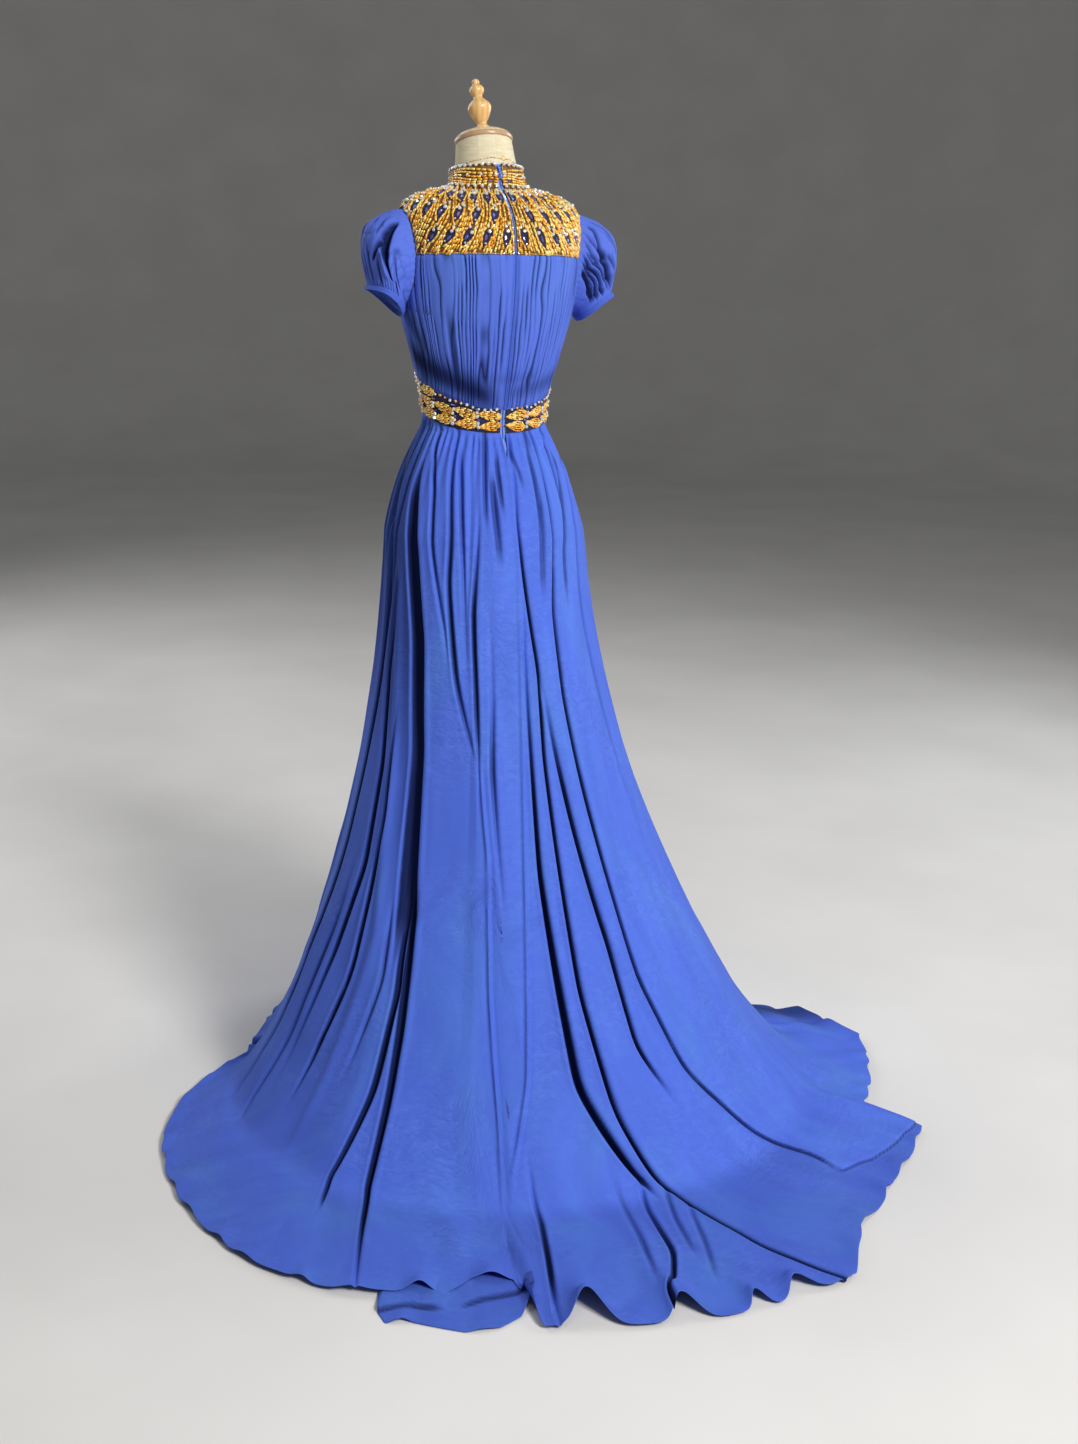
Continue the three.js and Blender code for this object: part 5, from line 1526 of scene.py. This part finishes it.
def yoke_edges(work, side, front):
    """Gold beads along the yoke's lower edge, armholes and placket."""
    mark = -1 if front else 1
    low = YOKE_EDGE + 0.045
    if front:
        ends = (90 + armhole_reach(low) + 1.0, 270 - armhole_reach(low) - 1.0)
    else:
        ends = (as_angle(PLACKET["yoke"] + 1.2, low) * side, (90 - armhole_reach(low) - 1.0) * side)
    seed_line(work, np.linspace(*ends, 60), np.full(60, low), every=7)
    levels = np.linspace(YOKE_EDGE + 0.06, ARMHOLE["level"] + ARMHOLE["upward"] - 0.02, 70)
    for edge in ((1, -1) if front else (side,)):
        angles = edge * (90 - mark * (armhole_reach(levels) + as_angle(1.3, levels)))
        seed_line(work, angles, levels, lift=YOKE_LIFT + 0.2)
    if not front:
        rows = np.linspace(YOKE_EDGE + 0.05, NECK_BASE - 0.06, 60)
        seed_line(work, side * as_angle(PLACKET["yoke"] + 1.1, rows), rows, every=9)


def leaf(work, angle, height_at, heading, long, wide, lines=5, lift=7.4, keep=None):
    """A leaf of bugles: lines that bow out from its foot and close at its tip. The place is an angle and a
    function that gives the height in metres at an angle."""
    each = 9.6
    steps = max(3, round(long / each))
    turn = math.radians(heading)
    for line in range(lines):
        share = 0 if lines == 1 else 2 * line / (lines - 1) - 1
        for n in range(steps):
            s = (n + 0.5 + (0.25 if line % 2 else 0)) / (steps + 0.25)
            bow = lambda t: 0.5 * wide * math.sin(math.pi * min(1, max(0, t)) ** 0.72) ** 1.15 * share
            x = (s - 0.5) * long
            y = bow(s)
            slope = (bow(s + 0.04) - bow(s - 0.04)) / (0.08 * long)
            around = x * math.cos(turn) - y * math.sin(turn)
            up = x * math.sin(turn) + y * math.cos(turn)
            radius = ring_radius(angle, float(level_at(height_at(angle))))
            here = angle + math.degrees(around * MM / radius)
            height = float(height_at(here)) + up * MM
            if keep and not keep(here, height):
                continue
            level = float(level_at(height))
            work.add("bugles", here, level,
                     90 + heading + math.degrees(math.atan(slope)) + work.random.normal(0, 3),
                     long=each * work.random.uniform(0.9, 1.05), wide=3.0,
                     lift=lift + work.random.uniform(0, 0.7) + (0.5 if abs(share) < 0.3 else 0))


BAND_LIFT = (BAND_OFFSET + 0.0016) / MM + 1.3


def band_beads(work):
    """Rows of leaves round the waistband, two at the back and more in front, with crystals between."""
    random = work.random

    def clear(here, _height):
        """Whether a place is in front, or clear of the placket."""
        turn = math.radians(here)
        return abs(math.sin(turn)) * 90 > PLACKET["band"] + 1.0 or math.cos(turn) < 0

    for row in range(4):
        rise = 9.8 + 18.6 * row
        height_at = lambda a, rise=rise: band_bottom(a) + rise * MM * (1 + 0.05 * towards_front(a))
        pitch = 22.5
        start = 12.0 if row % 2 == 0 else 13.5
        angles = []
        at = start
        while at < 180 - pitch / 3:
            angles += [at, -at]
            at += pitch
        if row % 2:
            angles.append(180.0)
        for angle in angles:
            room = (band_top(angle) - band_bottom(angle)) / MM
            if rise > room - 3:
                continue
            mark = 1 if angle > 0 else -1
            leaf(work, angle, height_at, mark * random.uniform(4, 17) * (1 if row % 2 else -0.8),
                 long=random.uniform(36, 41), wide=random.uniform(13.5, 16), lift=BAND_LIFT, keep=clear)
            between = angle + mark * pitch / 2
            for up in (-3.5, 3.5):
                height = float(height_at(between)) + (up + random.uniform(-1, 1)) * MM
                if clear(between, height):
                    size = random.uniform(5.6, 6.8)
                    work.crystal(between + random.uniform(-1, 1), float(level_at(height)), size,
                                 0.8 * size, BAND_LIFT + 0.9)
            if random.uniform() < 0.8:
                height = float(height_at(between)) + 9.2 * MM
                if clear(between, height) and height < band_top(between):
                    work.add("marquises", between, float(level_at(height)), 90 + random.normal(0, 12),
                             long=8.0, wide=3.8, high=2.6, lift=BAND_LIFT - 0.4)
    for angle in np.arange(7, 354, 5.4):
        if not clear(angle, 0):
            continue
        height = float(band_top(angle)) + random.uniform(-2.5, 1.5) * MM
        size = random.uniform(4.2, 6.0)
        work.add("crystals" if random.uniform() < 0.7 else "seeds", angle, float(level_at(height)),
                 random.uniform(0, 90), long=size, wide=size, high=0.8 * size, lift=BAND_LIFT - 0.2)


def collar_beads(work):
    """Wavy rings of bugles round the collar that dip towards the zip, between edges of crystals."""
    random = work.random
    base, tall = NECK_BASE + 0.03, 0.94
    placket = PLACKET["collar"] + 2.2
    for side in (1, -1):
        for ring, share in enumerate((0.16, 0.295, 0.43, 0.565, 0.70, 0.83)):
            at = math.degrees(placket * MM / ring_radius(0, base)) + random.uniform(0, 3)
            while at < 179:
                phase = math.radians(at * 5) + 0.5 * ring
                wave = 0.05 * math.sin(phase) * math.sin(math.pi * share)
                dip = 0.30 * (share - 0.05) * math.exp(-at / 12)
                level = base + tall * (share + wave - dip)
                radius = ring_radius(at, level) / MM
                rise = (0.05 * math.radians(5) * math.cos(phase) * math.sin(math.pi * share)
                        + 0.30 * (share - 0.05) / 12 * math.exp(-at / 12))
                lean = math.degrees(math.atan(rise * tall * 34 / math.radians(radius)))
                long = random.uniform(7.2, 8.2)
                gap = math.sin(math.radians(at * 5) - 1.2 + 1.4 * ring) > 0.93 and ring in (1, 3)
                if gap:
                    work.add("marquises", side * at, level, 90, long=8.4, wide=4.4, high=3.0,
                             lift=YOKE_LIFT - 0.8)
                else:
                    work.add("bugles", side * at, level, side * (90 + lean) + random.normal(0, 3), long=long,
                             wide=3.9, lift=YOKE_LIFT + random.uniform(0.2, 0.9))
                at += math.degrees(8.3 / radius)
        for share, step_mm, size in ((0.975, 8.8, 6.4), (0.03, 11.0, 6.2), (0.60, 21, 5.4)):
            level = base + tall * share
            radius = ring_radius(20, level) / MM
            for at in np.arange(math.degrees(placket / radius) + 1, 179, math.degrees(step_mm / radius)):
                work.crystal(side * at, level, size, 0.85 * size, YOKE_LIFT + 0.8)
        rows = np.linspace(NECK_BASE + 0.10, COLLAR_TOP - 0.10, 40)
        seed_line(work, side * as_angle(PLACKET["collar"] + 1.2, rows), rows, step_mm=3.0, size=2.4)


def neck_chain(work):
    """A fine beaded edging that stands on the form's neck just over the collar."""
    angles = np.linspace(-74, 74, 110)
    levels = COLLAR_TOP + 0.03 + 0.17 * np.cos(np.radians(angles * 1.15))
    levels = levels + 0.012 * np.sin(np.radians(angles * 9))
    seed_line(work, angles, levels, step_mm=1.9, size=1.5, lift=0.8, every=6)
    ring = np.linspace(0, 2 * np.pi, 13)[:-1]
    for place in ring:
        work.add("seeds", -14 + 3.6 * math.cos(place), COLLAR_TOP + 0.20 + 0.07 * math.sin(place), 0,
                 long=1.4, wide=1.4, lift=0.9)


BEADS = {name: Beadwork(name, seed) for seed, name in enumerate(
    ("yoke_back_beads", "yoke_front_beads", "collar_beads", "waistband_beads", "neck_edging"), 70)}
yoke_beads(BEADS["yoke_back_beads"], -91.0, 91.0)
yoke_beads(BEADS["yoke_front_beads"], 91.0, 269.0)
shoulder_stones(BEADS["yoke_back_beads"], (1, -1), (-4, -13))
shoulder_stones(BEADS["yoke_front_beads"], (1, -1), (5,))
for mark in (1, -1):
    yoke_edges(BEADS["yoke_back_beads"], mark, False)
yoke_edges(BEADS["yoke_front_beads"], 1, True)
collar_beads(BEADS["collar_beads"])
band_beads(BEADS["waistband_beads"])
neck_chain(BEADS["neck_edging"])
BEAD_PIECES = [piece for work in BEADS.values() for piece in work.build()]

# ------------------------------------------------------------------ zip
ZIP = {"tape_offset": 0.0020, "half": 9.0, "top": COLLAR_TOP - 0.02, "foot": WAIST - 0.55}
HINGE = {"level": ZIP["top"] - 0.16, "offset": 0.0072, "plate_foot": -0.0048, "plate_top": -0.0032}


# outlines in mm about the pull's hinge: the slider's cheek, and half of the pull, from its top to its tip
CHEEK = [(2.4, -3.2), (2.3, -0.6), (1.2, 0.8), (0.2, 1.15), (-0.9, 0.8), (-2.4, -0.4), (-3.2, -3.2)]
PULL_HALF = [(1.2, -0.85), (1.35, -3.2), (1.7, -5.2), (2.9, -8.2), (3.5, -11.2), (3.45, -13.8),
             (2.8, -16.4), (1.6, -18.4), (0, -19.0)]
PULL_MIDDLE = -11.9


def zip_tape():
    levels, share = np.linspace(ZIP["foot"], ZIP["top"], 150), np.linspace(-1, 1, 17)
    loose = step((WAIST - 0.12 - levels[:, None]) / 0.22)
    across = share[None, :] * (ZIP["half"] - 5.4 * loose)
    level = levels[:, None] * np.ones((1, 17))
    offset = ZIP["tape_offset"] + 0.0075 * loose + 0.00035 * bell(np.abs(across) / 2.2)
    offset = offset - 0.0009 * (np.abs(share) == 1)
    points = on_body(as_angle(across, level), level, offset)
    piece = cloth("zip_tape_cloth", points, TAPE, {"uv": cloth_uv(points)})
    settle(piece, "gown", "zip_tape", "zip_tape")


def zip_teeth():
    work = Beadwork("zip", 90)
    line = np.linspace(ZIP["foot"] + 0.03, HINGE["level"] - 0.1, 600)
    gone = gone_along(body_point(0.0, line)) / MM
    for n, place in enumerate(np.arange(1, gone[-1] - 1, 1.1)):
        level = float(np.interp(place, gone, line))
        side = 1 if n % 2 else -1
        work.add("teeth", float(as_angle(0.45 * side, level)), level, 90, long=1.7, wide=0.8, high=0.9,
                 lift=2.55)
    work.build("zip_metal")


def inset(outline, amount):
    """The outline moved in by an amount, by its corners' own directions."""
    outline = np.asarray(outline, float)
    before = unit(outline - np.roll(outline, 1, 0))
    after = unit(np.roll(outline, -1, 0) - outline)
    inward = np.stack([-(before + after)[:, 1], (before + after)[:, 0]], -1)
    return outline + unit(inward) * amount


def plate_mesh(outline, low, high, edge):
    """A plate with softened edges, from an outline in x and z that goes round to the left, raised along y."""
    levels = [(low, edge), (low + edge * 0.3, edge * 0.3), (low + edge, 0), (high - edge, 0),
              (high - edge * 0.3, edge * 0.3), (high, edge)]
    rings = []
    for height, amount in levels:
        flat = inset(outline, amount)
        rings.append(np.stack([flat[:, 0], np.full(len(flat), height), flat[:, 1]], -1))
    corners = len(outline)
    points = np.concatenate(rings + [rings[0].mean(0)[None], rings[-1].mean(0)[None]])
    faces = []
    for ring in range(len(rings) - 1):
        for k in range(corners):
            a, b = ring * corners + k, ring * corners + (k + 1) % corners
            faces += [(a, b + corners, b), (a, a + corners, b + corners)]
    for k in range(corners):
        n = (k + 1) % corners
        faces.append((len(points) - 2, k, n))
        faces.append((len(points) - 1, (len(rings) - 1) * corners + n, (len(rings) - 1) * corners + k))
    return points, np.array(faces)


def tube_mesh(profile, sides, looped):
    """A solid turned about x from (radius, x) pairs, which start and end on the axis or are a loop."""
    turn = np.arange(sides) * 2 * np.pi / sides
    profile = np.asarray(profile, float)
    radius, along = profile[:, 0], profile[:, 1]
    points = np.stack([np.broadcast_to(along[:, None], (len(profile), sides)),
                       radius[:, None] * np.cos(turn), radius[:, None] * np.sin(turn)], -1)
    index = np.arange(points[..., 0].size).reshape(len(profile), sides)
    a, b = index, np.roll(index, -1, 1)
    c, d = np.roll(b, -1, 0), np.roll(a, -1, 0)
    if not looped:
        a, b, c, d = a[:-1], b[:-1], c[:-1], d[:-1]
    quads = np.stack([a, b, c, d], -1).reshape(-1, 4)
    return points.reshape(-1, 3), np.concatenate([quads[:, [0, 1, 2]], quads[:, [0, 2, 3]]])


def joined(parts):
    points, faces, start = [], [], 0
    for part_points, part_faces in parts:
        points.append(part_points)
        faces.append(part_faces + start)
        start += len(part_points)
    return np.concatenate(points), np.concatenate(faces)


def at_hinge(points):
    """Millimetres about the pull's hinge, with y away from the body, turned into place."""
    outward = body_frame(0.0, HINGE["level"])[2]
    level_up = np.array([0, -outward[2], outward[1]])
    across = np.array([1.0, 0, 0])
    origin = on_body(0.0, HINGE["level"], HINGE["offset"])
    points = np.asarray(points) * MM
    return origin + points[:, :1] * across + points[:, 1:2] * outward + points[:, 2:] * level_up


def rounded_bar(half_x, low_z, high_z, radius, steps=5):
    """The outline of a plate with round corners."""
    made = []
    for centre_x, centre_z, start in ((half_x - radius, high_z - radius, 0),
                                      (radius - half_x, high_z - radius, 90),
                                      (radius - half_x, low_z + radius, 180),
                                      (half_x - radius, low_z + radius, 270)):
        for k in range(steps):
            turn = math.radians(start + 90 * k / (steps - 1))
            made.append((centre_x + radius * math.cos(turn), centre_z + radius * math.sin(turn)))
    return made[::-1]


def zip_slider():
    foot, top = HINGE["plate_foot"] / MM, HINGE["plate_top"] / MM
    parts = [plate_mesh(rounded_bar(3.0, -4.5, 4.5, 1.6), foot, top, 0.35)]
    for side in (-1, 1):
        cheek, faces = plate_mesh(CHEEK[::-1], -0.5, 0.5, 0.2)
        turned_cheek = np.stack([cheek[:, 1] + 2.45 * side, cheek[:, 2], cheek[:, 0]], -1)
        parts.append((turned_cheek, faces))
    pin = [(0, -2.6), (0.42, -2.6), (0.42, 2.6), (0, 2.6)]
    parts.append(tube_mesh(pin, 16, False))
    points, faces = joined(parts)
    piece = mesh_object("zip_slider_body", at_hinge(points), faces, ZIP_ENAMEL, smooth=False)
    settle(piece, "gown", "zip_metal", "zip_slider")


def zip_pull():
    eye = [(0.62, -1.45), (0.95, -1.45), (0.95, 1.45), (0.62, 1.45)]
    outline = PULL_HALF + [(-x, z) for x, z in PULL_HALF[-2::-1]]
    body = plate_mesh(outline, -0.58, 0.58, 0.22)
    inner = [(0.74 * x, PULL_MIDDLE + 0.76 * (z - PULL_MIDDLE)) for x, z in outline if z < -4]
    rim = plate_mesh(inner, 0.5, 0.95, 0.2)
    points, faces = joined([tube_mesh(eye, 20, True), body, rim])
    pull = mesh_object("zip_pull_leaf", at_hinge(points), faces, ZIP_ENAMEL, smooth=False)
    settle(pull, "pull", "zip_metal", "zip_pull")
    stone, stone_faces = MARQUISE
    places = stone * np.array([4.0, 1.5, 8.6]) + np.array([0, 0.9, -12.2])
    gem = mesh_object("zip_pull_stone", at_hinge(places), stone_faces, GEM, smooth=False,
                      values={"tint": np.full(len(stone), 0.9)})
    settle(gem, "pull", "zip_metal")


zip_tape()
zip_teeth()
zip_slider()
zip_pull()

# ------------------------------------------------------------------ dress form
LINEN_SEAMS = (0, 34, 90, 146, 180, 214, 270, 326)
HEAD = {"place": SECTIONS[NECK_TOP][[4, 0]], "slope": math.atan2(26, 92)}
FORM_GAP = 0.0003
# the arm plates: their middle and half sizes, and (how far out, share of the size) from the torso outward
PLATE = {"y": -0.002, "height": 1.380, "half_wide": 0.031, "half_tall": 0.042, "sides": 72}
PLATE_PROFILE = [(0, 0.97), (0.0012, 1.0), (0.010, 1.0), (0.0108, 0.985), (0.0122, 0.985), (0.013, 1.0),
                 (0.0185, 1.0), (0.0208, 0.985), (0.0218, 0.95), (0.022, 0.88), (0.0221, 0.5)]


def closed_loft(name, rings, material, values=None):
    """Rings of points, foot first, closed at both ends."""
    count_rings, sides = rings.shape[:2]
    points = np.concatenate([rings.reshape(-1, 3), rings[0].mean(0)[None], rings[-1].mean(0)[None]])
    quads = grid_faces(count_rings, sides, True)
    faces = np.concatenate([quads[:, [0, 1, 2]], quads[:, [0, 2, 3]]])
    around = np.arange(sides)
    after = (around + 1) % sides
    top = (count_rings - 1) * sides
    foot_faces = np.stack([np.full(sides, len(points) - 2), after, around], -1)
    top_faces = np.stack([np.full(sides, len(points) - 1), top + around, top + after], -1)
    return mesh_object(name, points, np.concatenate([faces, foot_faces, top_faces]), material, values=values)


def form_torso():
    levels = np.concatenate([[0, 0.004, 0.02], np.linspace(0.06, NECK_TOP - 0.04, 84),
                             [NECK_TOP - 0.008, NECK_TOP]])
    angle, level = np.meshgrid(np.linspace(0, 360, 144, endpoint=False), levels)
    outward = body_frame(angle, level)[2]
    along = np.radians(1) * 0.13 / MM
    from_seams = [turned(angle - seam) * along for seam in LINEN_SEAMS]
    groove = sum(bell(away / 1.6) - 0.55 * bell((np.abs(away) - 4) / 2.2) for away in from_seams)
    rings = body_point(angle, level) - outward * (0.0009 * groove)[..., None]
    ends = np.minimum(1, np.minimum(level / 0.05, (NECK_TOP - level) / 0.03))
    middle = rings.mean(1, keepdims=True)
    rings = middle + (rings - middle) * (0.985 + 0.015 * np.sqrt(np.clip(ends, 0, 1)))[..., None]
    rings[..., 0] = np.clip(rings[..., 0], -PLATE_FACE, PLATE_FACE)
    settle(closed_loft("form_torso_linen", rings, LINEN), "gown", "linen", "form_torso")


def form_plate(which, side):
    turn = np.linspace(0, 2 * np.pi, PLATE["sides"], endpoint=False)
    rings = [np.stack([np.full(PLATE["sides"], side * (PLATE_FACE + FORM_GAP + out)),
                       PLATE["y"] - side * PLATE["half_wide"] * share * np.cos(turn),
                       PLATE["height"] + PLATE["half_tall"] * share * np.sin(turn)], -1)
             for out, share in PLATE_PROFILE]
    piece = closed_loft("form_plate_linen_" + which, np.stack(rings), LINEN)
    settle(piece, "gown", "linen", "form_plate_" + which)


def softened(profile, radius, steps=4):
    """A profile with its corners cut round."""
    profile = np.asarray(profile, float)
    made = [profile[0]]
    for before, here, after in zip(profile, profile[1:], profile[2:]):
        towards, away = before - here, after - here
        cut = min(radius, 0.49 * np.hypot(*towards), 0.49 * np.hypot(*away))
        first = here + towards / np.hypot(*towards) * cut
        last = here + away / np.hypot(*away) * cut
        for t in np.linspace(0, 1, steps + 1):
            made.append((1 - t) ** 2 * first + 2 * t * (1 - t) * here + t * t * last)
    made.append(profile[-1])
    return np.array(made)


def on_head(points, lean=0.0, rise=0.0):
    """Millimetres above the neck's sloping top, turned into place."""
    leaning = Matrix.Rotation(math.radians(lean), 4, "Y")
    turn = Matrix.Rotation(HEAD["slope"], 4, "X") @ Matrix.Translation((0, 0, rise)) @ leaning
    turned_points = np.asarray(points) @ np.array(turn.to_3x3()).T + np.array(turn.to_translation())
    centre, height = HEAD["place"]
    return turned_points * MM + np.array([0, centre, height])


def lathe(name, profile, sides, material, slot, node, place=None, edge=None):
    turn = np.linspace(0, 2 * np.pi, sides, endpoint=False)
    inner = profile[(profile[:, 0] > 1e-6)]
    rings = np.stack([inner[:, :1] * np.cos(turn), inner[:, :1] * np.sin(turn),
                      inner[:, 1:] * np.ones((1, sides))], -1)
    shape = rings.shape
    placed = place(rings.reshape(-1, 3)).reshape(shape) if place else rings * MM
    shade = np.repeat(edge(inner) if edge else np.zeros(len(inner)), sides)
    piece = closed_loft(name, placed, material, {"edge": np.concatenate([shade, [0, 0]])})
    settle(piece, "gown", slot, node)


CAP_PROFILE = [(0, 0), (47, 0), (48.5, 1.5), (48.5, 6.5), (47, 8), (44, 12), (34, 17), (20, 20.5), (12, 21.5),
               (0, 21.5)]
FINIAL_PROFILE = [(0, 0), (11, 0), (12, 2), (11, 4.5), (8, 6.5), (7.5, 9), (11, 14), (15.5, 22), (19, 30),
                  (20, 35),
                  (18.5, 40), (13, 46), (8.5, 50), (7, 53), (8, 55.5), (11, 59), (12.5, 63.5), (11.5, 68),
                  (8, 71.5),
                  (5.5, 74), (6.5, 77), (5.5, 80.5), (2.5, 82.5), (0, 83)]
BASE_PROFILE = [(0, 0), (163, 0), (165, 2), (165, 9), (159, 14), (26, 14), (24, 14), (0, 14)]
POLE = {"radius": 16, "foot": 14.3, "long": 785.4}


CAP = {"clearance": 0.3, "height": 21.5, "dark_below": 8.3}
FINIAL = {"lean": 5.0, "half_foot": 11, "clearance": 0.6}


def dress_form():
    form_torso()
    form_plate("left", 1)
    form_plate("right", -1)
    lathe("form_cap_wood", softened(CAP_PROFILE, 1.6), 120, CAP_WOOD, "cap_wood", "form_cap",
          lambda points: on_head(points + np.array([0, 0, CAP["clearance"]])),
          lambda profile: 1.0 * (profile[:, 1] < CAP["dark_below"]))
    tilted = FINIAL["half_foot"] * math.sin(math.radians(FINIAL["lean"]))
    rise = CAP["height"] + FINIAL["clearance"] + tilted
    lathe("form_finial_wood", softened(FINIAL_PROFILE, 9, 4), 56, FINIAL_WOOD, "finial_wood", "form_finial",
          lambda points: on_head(points, FINIAL["lean"], rise))
    lathe("form_base_plate", softened(BASE_PROFILE, 1.4), 128, BASE_METAL, "base_metal", "form_base")
    foot, top, radius = POLE["foot"], POLE["foot"] + POLE["long"], POLE["radius"]
    pole = [(0, foot), (radius - 1, foot), (radius, foot + 1), (radius, 400), (radius, 402),
            (radius, top - 1), (radius - 1, top), (0, top)]
    lathe("form_pole_tube", softened(pole, 0.6), 64, POLE_STEEL, "steel", "form_pole")


dress_form()
